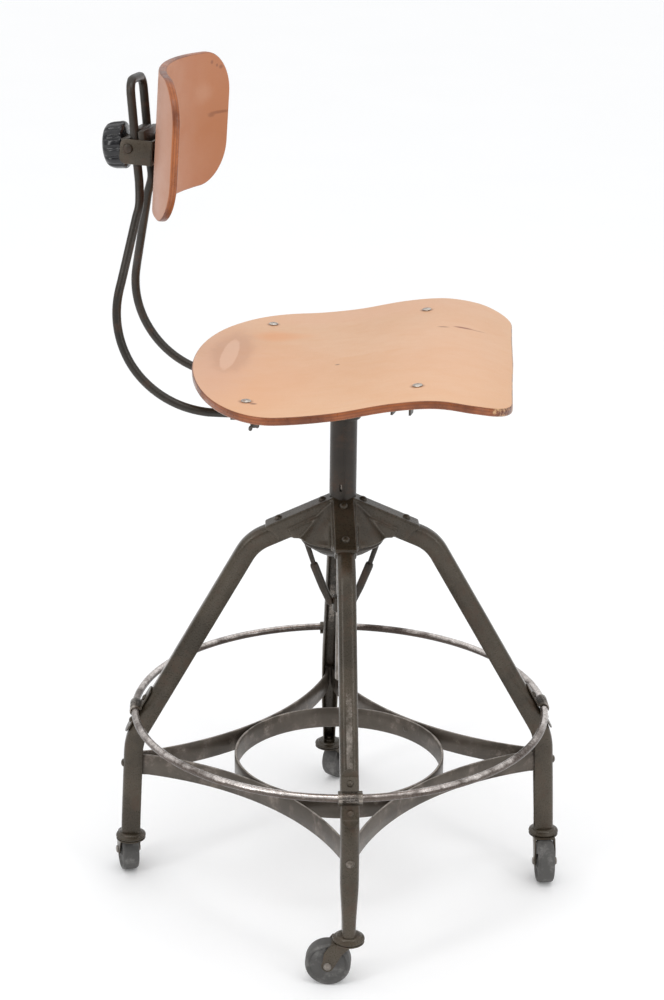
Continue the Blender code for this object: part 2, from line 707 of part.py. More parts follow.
def seat_panel(parent):
    """Bent plywood panel with a rounded edge, drilled for four bolts."""
    panel = slab(seat_stations(), rim(SEAT_THICK, 0.0024), lambda x, y, depth: (x, y, seat_height(x) + depth))
    for x in BOLT_X:
        for y in (-BOLT_Y, BOLT_Y):
            panel = cut(panel, moved(rod(0.0034, 0.59, 0.68, 10), Matrix.Translation((x, y, 0))))
    return node("seat_panel", panel, "seat_ply", parent)


def iron_line(side, drop):
    """Line under the seat that a cross iron's flange follows, from rear to front."""
    rear, front = IRON_FLANGES[side]
    stops = [rear] + [x for x in strip_stops() if rear < x < front] + [front]
    return [(x, panel_height(x) - SEAT_THICK - IRON_GAP - drop) for x in stops]


def seat_iron(side, parent, bolt_x):
    """Pressed cross iron: a flange under the seat with two webs that hang from it."""
    wall = IRON_WALL
    flange = upright(iron_line(side, 0.0) + iron_line(side, wall)[::-1], IRON_LENGTH)
    for outer, inner in zip(IRON_WEBS[side], (wall, -wall)):
        near, far = sorted((outer, outer + inner))
        high = min(panel_height(near), panel_height(far)) - SEAT_THICK - IRON_GAP - wall / 2
        end = IRON_LENGTH - 0.0005
        low = min(IRON_END, high - 0.004)
        outline = [(-end, high), (-end, low), (-IRON_SHOULDER, IRON_BOTTOM),
                   (IRON_SHOULDER, IRON_BOTTOM), (end, low), (end, high)]
        flange = joined(flange, moved(prism(outline, near, far), ACROSS))
    for y in (-BOLT_Y, BOLT_Y):
        flange = cut(flange, moved(rod(0.0034, 0.605, 0.665, 10), Matrix.Translation((bolt_x, y, 0))))
    return node(f"seat_iron_{side}", flange, "dark_steel", parent)


def seat_bolt(name, parent, x, y):
    """Domed bolt through the panel and the cross iron, with its nut."""
    top = seat_height(x)
    slope = math.atan((seat_height(x + 0.01) - seat_height(x - 0.01)) / 0.02)
    reach = 0.0044 * math.tan(abs(slope))
    under = panel_height(x) - SEAT_THICK - IRON_GAP - IRON_WALL - reach - GAP * 3
    cap = [(0, 0.0006), (0.0054, 0.0006), (0.0045, 0.0016), (0.0025, 0.0021), (0, 0.0022)]
    head = turned(cap, 16, closed=False)
    head = moved(head, Matrix.Translation((0, 0, top)) @ Matrix.Rotation(-slope, 4, "Y"))
    shank = rod(0.0029, under - 0.0052, top + 0.0016, 12)
    nut = rod(0.0044, under - 0.0040, under, 6)
    return node(name, joined(head, shank, nut), "bright_steel", parent, Matrix.Translation((x, y, 0)))


def seat_carrier(parent):
    """Plate between the two cross irons that the swivel socket hangs from."""
    low = CARRIER_TOP - CARRIER_THICK
    rear = IRON_WEBS["rear"][1] + GAP
    front = IRON_WEBS["front"][0] - GAP
    outline = [(rear, -0.046), (front, -0.046), (front, 0.046), (rear, 0.046)]
    return node("seat_carrier", prism(outline, low, CARRIER_TOP), "dark_steel", parent)


def swivel_socket(parent):
    """Socket that turns on the top of the spindle."""
    top = CARRIER_TOP - CARRIER_THICK - GAP
    hole = SPINDLE_RADIUS + RUNNING
    low = COLLAR_TOP + 0.0015
    socket = turned([(0, top - 0.0040), (hole, top - 0.0040), (hole, low), (0.0170, low),
                     (0.0170, top - 0.006), (0.0380, top - 0.004), (0.0380, top), (0, top)], 32, closed=False)
    return node("swivel_socket", socket, "dark_steel", parent)


# --- back rod and its guides --------------------------------------------------------------
def rod_route(side):
    """One leg of the rod from under the seat to the top, as points in space."""
    points = [(ROD_END, ROD_SPREAD, ROD_HEIGHT), (-0.070, ROD_SPREAD, ROD_HEIGHT)]
    bend = arc((ROD_BEND_X, ROD_HEIGHT + ROD_BEND), ROD_BEND, 270, 180 - math.degrees(ROD_LEAN), 12)
    for x, z in bend:
        points.append((x, ROD_SPREAD - 0.10 * max(z - 0.640, 0.0) ** 1.1, z))
    start = points[-1]
    for i in range(1, 8):
        share = i / 8
        ease = share + 0.10 * math.sin(math.pi * share) * (0.5 - share)
        points.append((start[0] + (KINK[0] - start[0]) * share, start[1] + (HAIRPIN_HALF - start[1]) * ease,
                       start[2] + (KINK[1] - start[2]) * share))
    points = [(x, y * side, z) for x, y, z in points]
    for height in (KINK[1] + 0.006, KINK[1] + 0.022, CLAMP_Z, 0.900, HAIRPIN_TOP - HAIRPIN_CORNER - 0.002):
        points.append(on_hairpin(side * HAIRPIN_HALF, height))
    for angle in (0, 30, 60, 90):
        drop = HAIRPIN_CORNER * (1 - math.sin(math.radians(angle)))
        inward = HAIRPIN_CORNER * (1 - math.cos(math.radians(angle)))
        points.append(on_hairpin(side * (HAIRPIN_HALF - inward), HAIRPIN_TOP - drop))
    return points


def hairpin_frame(height):
    """Frame on the straight top of the rod: Z runs up it and X is forward; it leans back, turned a little."""
    return (Matrix.Translation((KINK[0], 0, KINK[1])) @ about_z(BACK_YAW)
            @ Matrix.Rotation(HAIRPIN_LEAN, 4, "Y")
            @ Matrix.Rotation(HAIRPIN_ROLL, 4, "X")
            @ Matrix.Translation((0, 0, (height - KINK[1]) / math.cos(HAIRPIN_LEAN))))


def on_hairpin(across, height):
    return tuple(hairpin_frame(height) @ Vector((0, across, 0)))


def back_rod(parent):
    """One round bar bent into a long hairpin, made as a bevelled curve."""
    right = rod_route(-1)
    left = rod_route(1)
    route = right + [on_hairpin(0, HAIRPIN_TOP)] + left[::-1]
    curve = bpy.data.curves.new("back_rod", "CURVE")
    curve.dimensions = "3D"
    curve.bevel_depth = ROD_RADIUS
    curve.bevel_resolution = 2
    curve.use_fill_caps = True
    spline = curve.splines.new("POLY")
    spline.points.add(len(route) - 1)
    for point, place in zip(spline.points, route):
        point.co = (*place, 1.0)
    curve.materials.append(material("gunmetal"))
    made = bpy.data.objects.new("back_rod", curve)
    bpy.context.scene.collection.objects.link(made)
    made.parent = parent
    return made


def rod_sleeve(name, parent, side):
    """Sleeve that guides one leg of the rod, with a tab up to the carrier and a tapped hole below."""
    outer = 0.0073
    sleeve = moved(turned([(ROD_RADIUS + RUNNING, -0.118), (outer, -0.118), (outer, -0.050),
                           (ROD_RADIUS + RUNNING, -0.050)], 20),
                   Matrix.Translation((0, side * ROD_SPREAD, ROD_HEIGHT)) @ ALONG_X)
    under = CARRIER_TOP - CARRIER_THICK - GAP
    tab = box((-0.0780, 0.0395, under - 0.0028), (-0.0540, 0.0668, under))
    web = box((-0.0780, 0.0648, ROD_HEIGHT + 0.0010), (-0.0540, 0.0668, under))
    if side < 0:
        for part in (tab, web):
            bmesh.ops.scale(part, vec=(1, -1, 1), verts=part.verts)
    place = Matrix.Translation((SCREW_X, side * ROD_SPREAD, ROD_HEIGHT))
    drill = moved(rod(0.0029, -0.012, -0.004, 12), place)
    return node(name, cut(joined(sleeve, tab, web), drill), "dark_steel", parent)


def thumb_screw(name, parent, side):
    """Wing screw under a sleeve that holds the rod at its reach."""
    screw = rod(0.0025, -0.0130, -ROD_RADIUS - GAP, 12)
    wing = upright([(-0.0100, -0.0120), (-0.0035, -0.0100), (0.0035, -0.0100), (0.0100, -0.0120),
                    (0.0085, -0.0185), (0.0030, -0.0150), (-0.0030, -0.0150), (-0.0085, -0.0185)], 0.0014)
    return node(name, joined(screw, wing), "worn_steel", parent,
                Matrix.Translation((SCREW_X, side * ROD_SPREAD, ROD_HEIGHT)))


# --- clamp and back -----------------------------------------------------------------------
def clamp_block(parent):
    """Block behind the rods with a pivot stub each side and a hole for the knob's stud."""
    block = box((-0.0138, -BLOCK_HALF, -0.0105), (-ROD_RADIUS - GAP, BLOCK_HALF, 0.0105))
    head = BRACKET_OUT + GAP
    for side in (-1, 1):
        stub = turned([(0, 0.0316), (0.0034, 0.0316), (0.0034, head), (0.0056, head), (0.0046, head + 0.0022),
                       (0, head + 0.0030)], 16, closed=False)
        place = Matrix.Translation((PIVOT_X, 0, 0)) @ Matrix.Rotation(math.radians(-90 * side), 4, "X")
        block = joined(block, moved(stub, place))
    hole = moved(rod(0.0034, -0.02, 0.0, 14), ALONG_X)
    return node("clamp_block", cut(block, hole), "dark_steel", parent)


def clamp_jaw(parent):
    """Front jaw with a tongue that slides between the two rods."""
    front = box((ROD_RADIUS + GAP, -BLOCK_HALF, -0.0130), (0.0118, BLOCK_HALF, 0.0170))
    reach = HAIRPIN_HALF - ROD_RADIUS - RUNNING
    tongue = box((-0.0046, -reach, -0.0130), (0.0060, reach, 0.0185))
    hole = moved(rod(0.0034, -0.01, 0.0050, 14), ALONG_X)
    return node("clamp_jaw", cut(joined(front, tongue), hole), "dark_steel", parent)


def clamp_knob(parent):
    """Fluted, domed knob turned about the stud's axis, with a socket for the stud."""
    profile = [(0.0, -0.0145), (0.0115, -0.0145), (0.0125, -0.0155), (0.0215, -0.0160), (0.0245, -0.0180),
               (0.0252, -0.0220), (0.0249, -0.0290), (0.0230, -0.0345), (0.0180, -0.0382), (0.0095, -0.0403),
               (0.0, -0.0410)]
    steps = KNOB_FLUTES * 3
    rings = []
    for radius, height in profile[1:-1]:
        depth = 0.0012 * max(0.0, min(1.0, (radius - 0.0150) / 0.0080))
        ring = []
        for i in range(steps):
            angle = math.tau * i / steps
            reach = radius - depth * (0.5 - 0.5 * math.cos(KNOB_FLUTES * angle))
            ring.append((reach * math.cos(angle), reach * math.sin(angle), height))
        rings.append(ring)
    knob = moved(lofted(rings), ALONG_X)
    socket = moved(rod(0.0034, -0.0260, -0.010, 14), ALONG_X)
    return node("clamp_knob", cut(knob, socket), "bakelite", parent)


def knob_stud(parent):
    return node("knob_stud", rod(0.0031, -0.0255, 0.0040, 14), "bright_steel", parent, ALONG_X)


def back_bracket(parent):
    """Folded bracket whose two ears turn on the clamp's pivot stubs; its web carries the back panel."""
    reach = PANEL_REAR - GAP - PIVOT_X
    low, high = BRACKET_LOW, BRACKET_HIGH
    ear = [(-0.0090, low + 0.004), (-0.0060, low), (reach, low),
           (reach, high), (-0.0060, high), (-0.0090, high - 0.004)]
    middle = (BRACKET_IN + BRACKET_OUT) / 2
    shape = box((reach - 0.0024, -BRACKET_OUT, low), (reach, BRACKET_OUT, high))
    for side in (-1, 1):
        shape = joined(shape, upright(ear, (BRACKET_OUT - BRACKET_IN) / 2, side * middle))
    hole = moved(rod(0.0037, -0.04, 0.04, 16), ALONG_Y)
    return node("back_bracket", cut(shape, hole), "dark_steel", parent)


def back_stations():
    """Both ends rounded; along is the arc length across the sitter's back and half is half the height."""
    tall = BACK_HEIGHT / 2
    end = []
    for degrees in (0, 18, 36, 54, 72, 90):
        angle = math.radians(degrees)
        end.append((BACK_HALF - BACK_CORNER * (1 - math.cos(angle)),
                    tall - BACK_CORNER * (1 - math.sin(angle)), math.cos(angle), math.sin(angle)))
    flat = BACK_HALF - BACK_CORNER
    middle = [(x, tall + BACK_CROWN * (1 - (x / flat) ** 2), 0.0, 1.0) for x in (0.080, 0.054, 0.027)]
    right = end + middle
    return right + [(0.0, tall + BACK_CROWN, 0.0, 1.0)] + [(-x, y, -u, v) for x, y, u, v in reversed(right)]


def back_panel(parent):
    """Plywood panel bent round the sitter, with rounded corners and edges."""
    def surface(along, up, depth):
        reach = BACK_RADIUS - BACK_THICK - depth
        bend = along / BACK_RADIUS
        return (BACK_RADIUS - reach * math.cos(bend), reach * math.sin(bend), up)

    panel = slab(back_stations(), rim(BACK_THICK, 0.0024), surface)
    place = (Matrix.Translation((PANEL_REAR - PIVOT_X, BACK_SHIFT, BACK_RISE)) @ about_z(BACK_TWIST)
             @ Matrix.Rotation(BACK_ROLL, 4, "X"))
    return node("back_panel", panel, "back_ply", parent, place)


# --- assembly -----------------------------------------------------------------------------
def build_base(column):
    base = frame("base_frame", column, about_z(BASE_YAW))
    hub_cover(base)
    hub_plate(base)
    column_tube(base)
    column_collar(base)
    lock_screw(base)
    lower_guide(base)
    foot_ring(base)
    hoop(base)
    stay("stay_front", base, 0.0)
    stay("stay_rear", base, math.pi)
    sides = ["front", "left", "rear", "right"]
    for index, side in enumerate(sides):
        turn = index * math.pi / 2
        node(f"leg_{side}", leg(), "gunmetal", base, about_z(turn))
        ring_clip(f"ring_clip_{side}", base, turn)
        following = sides[(index + 1) % 4]
        stretcher(f"stretcher_{side}_{following}", base, turn, deep=index % 2 == 0)
        build_caster(base, side, turn)


def build_caster(base, side, turn):
    """A cup in the leg's foot, a fork frame that swivels and a wheel on its axle."""
    radius = LEG_FOOT[0] - LEG_DEPTH / 2
    stand = frame(f"caster_{side}_stand", base, about_z(turn) @ Matrix.Translation((radius, 0, 0)))
    caster_cup(f"caster_cup_{side}", stand)
    heading = math.radians(CASTER_HEADINGS[side]) - BASE_YAW - turn + math.pi
    swivel = frame(f"caster_{side}_swivel", stand, about_z(heading))
    caster_fork(f"caster_fork_{side}", swivel)
    caster_wheel(f"caster_wheel_{side}", swivel)
    caster_axle(f"caster_axle_{side}", swivel)


def build_seat(column):
    seat = frame("seat_frame", column)
    spindle(column)
    swivel_socket(seat)
    seat_carrier(seat)
    for side, bolt_x in zip(("rear", "front"), BOLT_X):
        seat_iron(side, seat, bolt_x)
        for hand, y in (("right", -BOLT_Y), ("left", BOLT_Y)):
            seat_bolt(f"seat_bolt_{side}_{hand}", seat, bolt_x, y)
    seat_panel(seat)
    for hand, side in (("right", -1), ("left", 1)):
        rod_sleeve(f"rod_sleeve_{hand}", seat, side)
        thumb_screw(f"thumb_screw_{hand}", seat, side)
    return seat


def build_back(seat):
    back_rod(seat)
    clamp = frame("clamp_frame", seat, hairpin_frame(CLAMP_Z))
    clamp_block(clamp)
    clamp_jaw(clamp)
    clamp_knob(clamp)
    knob_stud(clamp)
    tilt = frame("back_frame", clamp, Matrix.Translation((PIVOT_X, 0, 0))
                 @ Matrix.Rotation(BACK_LEAN - HAIRPIN_LEAN, 4, "Y"))
    back_bracket(tilt)
    back_panel(tilt)


def main():
    for existing in list(bpy.data.objects):
        bpy.data.objects.remove(existing)
    column = frame("column_frame", None, Matrix.Translation((COLUMN_X, COLUMN_Y, 0)))
    build_base(column)
    seat = build_seat(column)
    build_back(seat)


main()
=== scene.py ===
"""Looks of the drafting chair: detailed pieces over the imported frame, their finishes, camera and light."""
import json
import math

import bmesh
import bpy
from mathutils import Matrix, Vector

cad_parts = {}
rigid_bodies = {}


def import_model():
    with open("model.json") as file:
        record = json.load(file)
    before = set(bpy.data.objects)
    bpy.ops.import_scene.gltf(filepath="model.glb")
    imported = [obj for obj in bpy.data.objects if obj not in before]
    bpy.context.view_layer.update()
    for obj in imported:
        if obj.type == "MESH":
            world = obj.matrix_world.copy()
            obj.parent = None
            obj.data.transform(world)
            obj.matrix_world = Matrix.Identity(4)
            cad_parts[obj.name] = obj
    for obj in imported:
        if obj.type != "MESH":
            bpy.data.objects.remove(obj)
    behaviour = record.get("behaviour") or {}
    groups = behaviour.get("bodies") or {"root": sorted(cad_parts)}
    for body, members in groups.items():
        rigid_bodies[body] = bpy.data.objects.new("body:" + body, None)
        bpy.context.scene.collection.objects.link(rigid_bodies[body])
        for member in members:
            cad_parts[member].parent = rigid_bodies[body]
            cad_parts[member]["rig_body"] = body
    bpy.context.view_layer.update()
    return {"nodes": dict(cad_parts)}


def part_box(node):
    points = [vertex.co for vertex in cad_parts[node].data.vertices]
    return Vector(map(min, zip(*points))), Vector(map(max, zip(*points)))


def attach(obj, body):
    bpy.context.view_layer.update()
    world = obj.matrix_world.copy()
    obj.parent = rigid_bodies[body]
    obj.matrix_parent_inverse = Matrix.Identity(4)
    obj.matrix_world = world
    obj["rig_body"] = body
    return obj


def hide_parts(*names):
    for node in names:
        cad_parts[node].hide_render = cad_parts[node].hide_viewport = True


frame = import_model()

GAP = 0.0003
BASE_YAW = math.radians(6.6)
SIDES = ("front", "left", "rear", "right")

# legs, as (radius, height) of the outer face
LEG_WIDTH = 0.020
LEG_DEPTH = 0.022
LEG_WALL = 0.002
LEG_CORNER = 0.0072
LEG_START_R = 0.0262
LEG_KNEE = (0.110, 0.4315)
LEG_ANKLE = (0.2495, 0.1845)
LEG_FOOT = (0.2553, 0.0597)
LEG_TOP_SLOPE = 0.445
STAY_BOW = -0.0016
FOOT_PINCH = 0.74                 # how far the foot is pinched across, just over the caster

COVER_WALL = 0.002
COVER_RADIUS = 0.050
ARM_LENGTH = 0.087
COLUMN_RADIUS = 0.0151
COLUMN_TOP = 0.5690
COLLAR_TOP = 0.5815
SPINDLE_RADIUS = 0.0110
RING_RADIUS = 0.2366
RING_BAR = 0.0043
RING_HEIGHT = 0.2187
STRAP_HEIGHT = 0.0254
STRAP_THICK = 0.0030
STRAP_MIDDLE = 0.1478
HOOP_RADIUS = 0.1220
STRAP_ARC = 0.3340
WHEEL_RADIUS = 0.0250
WHEEL_WIDTH = 0.0196
TRAIL = 0.0220
CASTER_HEADINGS = {"front": -84.0, "left": 58.7, "rear": 108.0, "right": 180.4}

SEAT_THICK = 0.0095
SEAT_HALF = 0.207
SEAT_REAR = -0.166
SEAT_FRONT = 0.184
SEAT_ROUND = 0.108
SEAT_CORNER = 0.053
SEAT_LINE = [(-0.175, 0.6370), (-0.120, 0.6320), (-0.060, 0.6315), (0.000, 0.6382), (0.060, 0.6505),
             (0.106, 0.6550), (0.145, 0.6502), (0.170, 0.6434), (0.195, 0.6350)]
BOLTS = {"rear_right": (-0.093, -0.153), "rear_left": (-0.093, 0.153), "front_right": (0.085, -0.153),
         "front_left": (0.085, 0.153)}

ROD_RADIUS = 0.00475
ROD_SPREAD = 0.072
ROD_HEIGHT = 0.5922
ROD_END = -0.012
ROD_BEND_X = -0.135
ROD_BEND = 0.106
ROD_LEAN = 11.7
KINK = (-0.2173, 0.8225)
HAIRPIN_HALF = 0.0270
HAIRPIN_TOP = 0.9380
HAIRPIN_CORNER = 0.0130
HAIRPIN_LEAN = math.radians(-5.2)
HAIRPIN_ROLL = math.radians(-2.8)
BACK_YAW = math.radians(-5.6)
CLAMP_Z = 0.8683
PIVOT_X = -0.0065
BRACKET_IN = 0.0334
BRACKET_OUT = 0.0358
BACK_LEAN = math.radians(3.1)
BACK_TWIST = math.radians(2.1)
BACK_ROLL = math.radians(1.3)
BACK_SHIFT = -0.0024
BACK_RADIUS = 0.279
BACK_THICK = 0.0088
BACK_HALF = 0.153
BACK_HEIGHT = 0.1486
BACK_CROWN = 0.0010
BACK_RISE = 0.0162
BACK_CORNER = 0.0475
PANEL_REAR = 0.0204
KNOB_FLUTES = 14


# --- places -------------------------------------------------------------------------------
def at(*place):
    return Matrix.Translation(place)


def about_x(angle):
    return Matrix.Rotation(angle, 4, "X")


def about_y(angle):
    return Matrix.Rotation(angle, 4, "Y")


def about_z(angle):
    return Matrix.Rotation(angle, 4, "Z")


low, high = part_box("column_tube")
COLUMN = at((low.x + high.x) / 2, (low.y + high.y) / 2, 0.0)
BASE = COLUMN @ about_z(BASE_YAW)
LEGS = {side: BASE @ about_z(index * math.pi / 2) for index, side in enumerate(SIDES)}
STANDS = {side: LEGS[side] @ at(LEG_FOOT[0] - LEG_DEPTH / 2, 0, 0) for side in SIDES}
SWIVELS = {side: STANDS[side] @ about_z(math.radians(CASTER_HEADINGS[side]) - BASE_YAW - index * math.pi / 2
    + math.pi) for index, side in enumerate(SIDES)}
ALONG_X = about_y(math.radians(90))
ALONG_Y = about_x(math.radians(-90))
UPRIGHT = about_x(math.radians(90))


def hairpin_frame(height):
    return (at(KINK[0], 0, KINK[1]) @ about_z(BACK_YAW) @ about_y(HAIRPIN_LEAN)
            @ about_x(HAIRPIN_ROLL)
            @ at(0, 0, (height - KINK[1]) / math.cos(HAIRPIN_LEAN)))


CLAMP = COLUMN @ hairpin_frame(CLAMP_Z)
TILT = CLAMP @ at(PIVOT_X, 0, 0) @ about_y(BACK_LEAN - HAIRPIN_LEAN)


# --- shader tools -------------------------------------------------------------------------
def add(tree, kind, settings=(), **inputs):
    """Add a node; an input is a value or a socket to link, named by the socket or by _ and its index."""
    made = tree.nodes.new(kind)
    for key, value in dict(settings).items():
        setattr(made, key, value)
    for key, value in inputs.items():
        socket = made.inputs[int(key[1:])] if key[0] == "_" else made.inputs[key.replace("_", " ")]
        if isinstance(value, bpy.types.NodeSocket):
            tree.links.new(value, socket)
        else:
            socket.default_value = value
    return made


def noise(tree, where, scale, detail=4.0, rough=0.5, stretch=None):
    if stretch:
        where = add(tree, "ShaderNodeMapping", Vector=where, Scale=stretch).outputs[0]
    return add(tree, "ShaderNodeTexNoise", Vector=where, Scale=scale, Detail=detail,
        Roughness=rough).outputs[0]


def ramp(tree, value, start, end, low=0.0, high=1.0):
    made = add(tree, "ShaderNodeMapRange", {"interpolation_type": "SMOOTHSTEP"}, _0=value, _1=start, _2=end,
        _3=low, _4=high)
    return made.outputs[0]


def mixed(tree, share, first, second):
    made = add(tree, "ShaderNodeMix", {"data_type": "RGBA"}, _0=share, _6=first, _7=second)
    return made.outputs[2]


def maths(tree, operation, first, second=0.0, clamp=False):
    made = add(tree, "ShaderNodeMath", {"operation": operation, "use_clamp": clamp}, _0=first, _1=second)
    return made.outputs[0]


def times(tree, first, second, clamp=False):
    return maths(tree, "MULTIPLY", first, second, clamp)


def plus(tree, first, second):
    return maths(tree, "ADD", first, second)


def swing(tree, value, reach):
    """A value about one half made a value about nought, times reach."""
    return times(tree, maths(tree, "SUBTRACT", value, 0.5), reach)


def group(name, inputs, outputs):
    """A node group with its sockets; returns the tree, its input sockets and its output node."""
    tree = bpy.data.node_groups.new(name, "ShaderNodeTree")
    for label, kind, value in inputs:
        socket = tree.interface.new_socket(label, in_out="INPUT", socket_type=kind)
        if value is not None:
            socket.default_value = value
    for label, kind in outputs:
        tree.interface.new_socket(label, in_out="OUTPUT", socket_type=kind)
    entry = tree.nodes.new("NodeGroupInput")
    return tree, {label: entry.outputs[label] for label, _, _ in inputs}, tree.nodes.new("NodeGroupOutput")


def give(tree, output, **values):
    for label, socket in values.items():
        tree.links.new(socket, output.inputs[label])


def colour(value):
    return (*value, 1.0)


FLOAT, COLOUR, VECTOR = "NodeSocketFloat", "NodeSocketColor", "NodeSocketVector"


def patina_group():
    """Old paint over steel: shade changes, rust blooms, rubbed places and fine pitting."""
    tree, socket, out = group("patina", [("Where", VECTOR, None), ("Paint", COLOUR,
        colour((0.05, 0.045, 0.036))), ("Faded", COLOUR, colour((0.09, 0.08, 0.066))),
        ("Rust", COLOUR, colour((0.07, 0.034, 0.018))), ("Steel", COLOUR, colour((0.42, 0.38, 0.34))),
        ("Wear", FLOAT, 0.0), ("Rusting", FLOAT, 0.5), ("Gloss", FLOAT, 0.40)],
        [("Color", COLOUR), ("Roughness", FLOAT), ("Metallic", FLOAT), ("Height", FLOAT)])
    where = socket["Where"]
    broad = noise(tree, where, 14.0, 5.0, 0.6)
    blotch = noise(tree, where, 55.0, 8.0, 0.7)
    speck = noise(tree, where, 420.0, 6.0, 0.75)
    pits = noise(tree, where, 1500.0, 3.0, 0.6)
    shade = mixed(tree, ramp(tree, broad, 0.36, 0.66), socket["Paint"], socket["Faded"])
    edge = plus(tree, blotch, swing(tree, speck, 0.35))
    rust = times(tree, ramp(tree, edge, 0.50, 0.68), socket["Rusting"], clamp=True)
    rusty = mixed(tree, rust, shade, socket["Rust"])
    dusty = mixed(tree, ramp(tree, speck, 0.56, 0.74, 0.0, 0.30), rusty, socket["Faded"])
    frayed = plus(tree, socket["Wear"], swing(tree, edge, 0.9))
    bare = times(tree, ramp(tree, frayed, 0.42, 0.72), ramp(tree, socket["Wear"], 0.02, 0.25))
    stained = mixed(tree, ramp(tree, speck, 0.42, 0.66, 0.0, 0.55), socket["Steel"], socket["Rust"])
    final = mixed(tree, bare, dusty, stained)
    rough = plus(tree, socket["Gloss"], times(tree, rust, 0.22))
    rough = plus(tree, rough, swing(tree, speck, 0.30))
    rough = maths(tree, "SUBTRACT", rough, times(tree, bare, 0.10), clamp=True)
    metal = plus(tree, times(tree, bare, 0.70), 0.25)
    height = plus(tree, times(tree, pits, 0.35), times(tree, rust, 0.45))
    height = maths(tree, "SUBTRACT", height, times(tree, bare, 0.5))
    height = plus(tree, height, times(tree, speck, 0.5))
    give(tree, out, Color=final, Roughness=rough, Metallic=metal, Height=height)
    return tree


def grain_group():
    """Veneer: long soft figure, fine pores, colour drift and rubbed varnish. Grain runs along X of Where."""
    tree, socket, out = group("veneer", [("Where", VECTOR, None), ("Light", COLOUR,
        colour((0.70, 0.44, 0.29))), ("Warm", COLOUR, colour((0.66, 0.36, 0.20))),
        ("Pore", COLOUR, colour((0.42, 0.22, 0.13))), ("Drift", FLOAT, 0.5)],
        [("Color", COLOUR), ("Roughness", FLOAT), ("Height", FLOAT)])
    where = socket["Where"]
    drift = noise(tree, where, 7.0, 4.0, 0.55)
    figure = noise(tree, where, 9.0, 6.0, 0.6, (1.0, 9.0, 9.0))
    streak = noise(tree, where, 40.0, 4.0, 0.6, (1.0, 22.0, 22.0))
    pores = noise(tree, where, 120.0, 3.0, 0.6, (1.0, 16.0, 16.0))
    rubbed = noise(tree, where, 30.0, 7.0, 0.7)
    tone = mixed(tree, times(tree, ramp(tree, drift, 0.35, 0.68), socket["Drift"]), socket["Light"],
        socket["Warm"])
    tone = mixed(tree, ramp(tree, figure, 0.40, 0.70, 0.0, 0.22), tone, socket["Warm"])
    tone = mixed(tree, ramp(tree, streak, 0.50, 0.78, 0.0, 0.16), tone, socket["Pore"])
    tone = mixed(tree, ramp(tree, pores, 0.58, 0.80, 0.0, 0.28), tone, socket["Pore"])
    fleck = noise(tree, where, 480.0, 3.0, 0.6, (1.0, 2.5, 2.5))
    tone = mixed(tree, ramp(tree, fleck, 0.50, 0.72, 0.0, 0.20), tone, socket["Pore"])
    clouded = noise(tree, where, 24.0, 5.0, 0.65, (1.0, 2.5, 2.5))
    tone = mixed(tree, ramp(tree, clouded, 0.42, 0.66, 0.0, 0.30), tone, socket["Warm"])
    rough = plus(tree, 0.42, swing(tree, rubbed, 0.35))
    height = plus(tree, times(tree, streak, 0.6), times(tree, pores, -0.5))
    give(tree, out, Color=tone, Roughness=rough, Height=height)
    return tree


def stain_group():
    """Soft mark with a frayed edge: 1 inside, 0 outside an ellipsoid round Centre."""
    tree, socket, out = group("stain", [("Where", VECTOR, None), ("Centre", VECTOR, None),
        ("Size", VECTOR, (1, 1, 1)), ("Soft", FLOAT, 0.3), ("Fray", FLOAT, 0.4)], [("Mask", FLOAT)])
    offset = add(tree, "ShaderNodeVectorMath", {"operation": "SUBTRACT"}, _0=socket["Where"],
        _1=socket["Centre"]).outputs[0]
    scaled = add(tree, "ShaderNodeVectorMath", {"operation": "DIVIDE"}, _0=offset,
        _1=socket["Size"]).outputs[0]
    reach = add(tree, "ShaderNodeVectorMath", {"operation": "LENGTH"}, _0=scaled).outputs[1]
    fray = swing(tree, noise(tree, socket["Where"], 60.0, 6.0, 0.65), socket["Fray"])
    reach = plus(tree, reach, fray)
    inner = maths(tree, "SUBTRACT", 1.0, socket["Soft"])
    outer = plus(tree, 1.0, socket["Soft"])
    mask = add(tree, "ShaderNodeMapRange", {"interpolation_type": "SMOOTHSTEP"}, _0=reach, _1=inner,
        _2=outer, _3=1.0, _4=0.0).outputs[0]
    give(tree, out, Mask=mask)
    return tree


PATINA = patina_group()
VENEER = grain_group()
STAIN = stain_group()


def surface(name):
    """A material emptied to its Principled shader; returns material, tree and shader."""
    made = bpy.data.materials.new(name)
    made.use_nodes = True
    return made, made.node_tree, made.node_tree.nodes["Principled BSDF"]


def bump(tree, shader, height, strength, distance):
    made = add(tree, "ShaderNodeBump", Strength=strength, Distance=distance, Height=height)
    tree.links.new(made.outputs[0], shader.inputs["Normal"])


def metal(name, paint, faded, rusting=0.5, gloss=0.40, steel=(0.42, 0.38, 0.34), rust=(0.07, 0.034, 0.018),
        worn=None):
    """Painted or bare steel with the patina group; worn overrides the piece's own wear."""
    made, tree, shader = surface(name)
    where = add(tree, "ShaderNodeTexCoord").outputs["Object"]
    wear = add(tree, "ShaderNodeAttribute", {"attribute_name": "wear"}).outputs["Fac"]
    if worn is not None:
        wear = plus(tree, wear, worn)
    patina = add(tree, "ShaderNodeGroup", {"node_tree": PATINA}, Where=where, Paint=colour(paint),
        Faded=colour(faded), Rust=colour(rust), Steel=colour(steel), Wear=wear, Rusting=rusting,
        Gloss=gloss)
    for label, target in (("Color", "Base Color"), ("Roughness", "Roughness"), ("Metallic", "Metallic")):
        tree.links.new(patina.outputs[label], shader.inputs[target])
    bump(tree, shader, patina.outputs["Height"], 0.35, 0.0006)
    return made


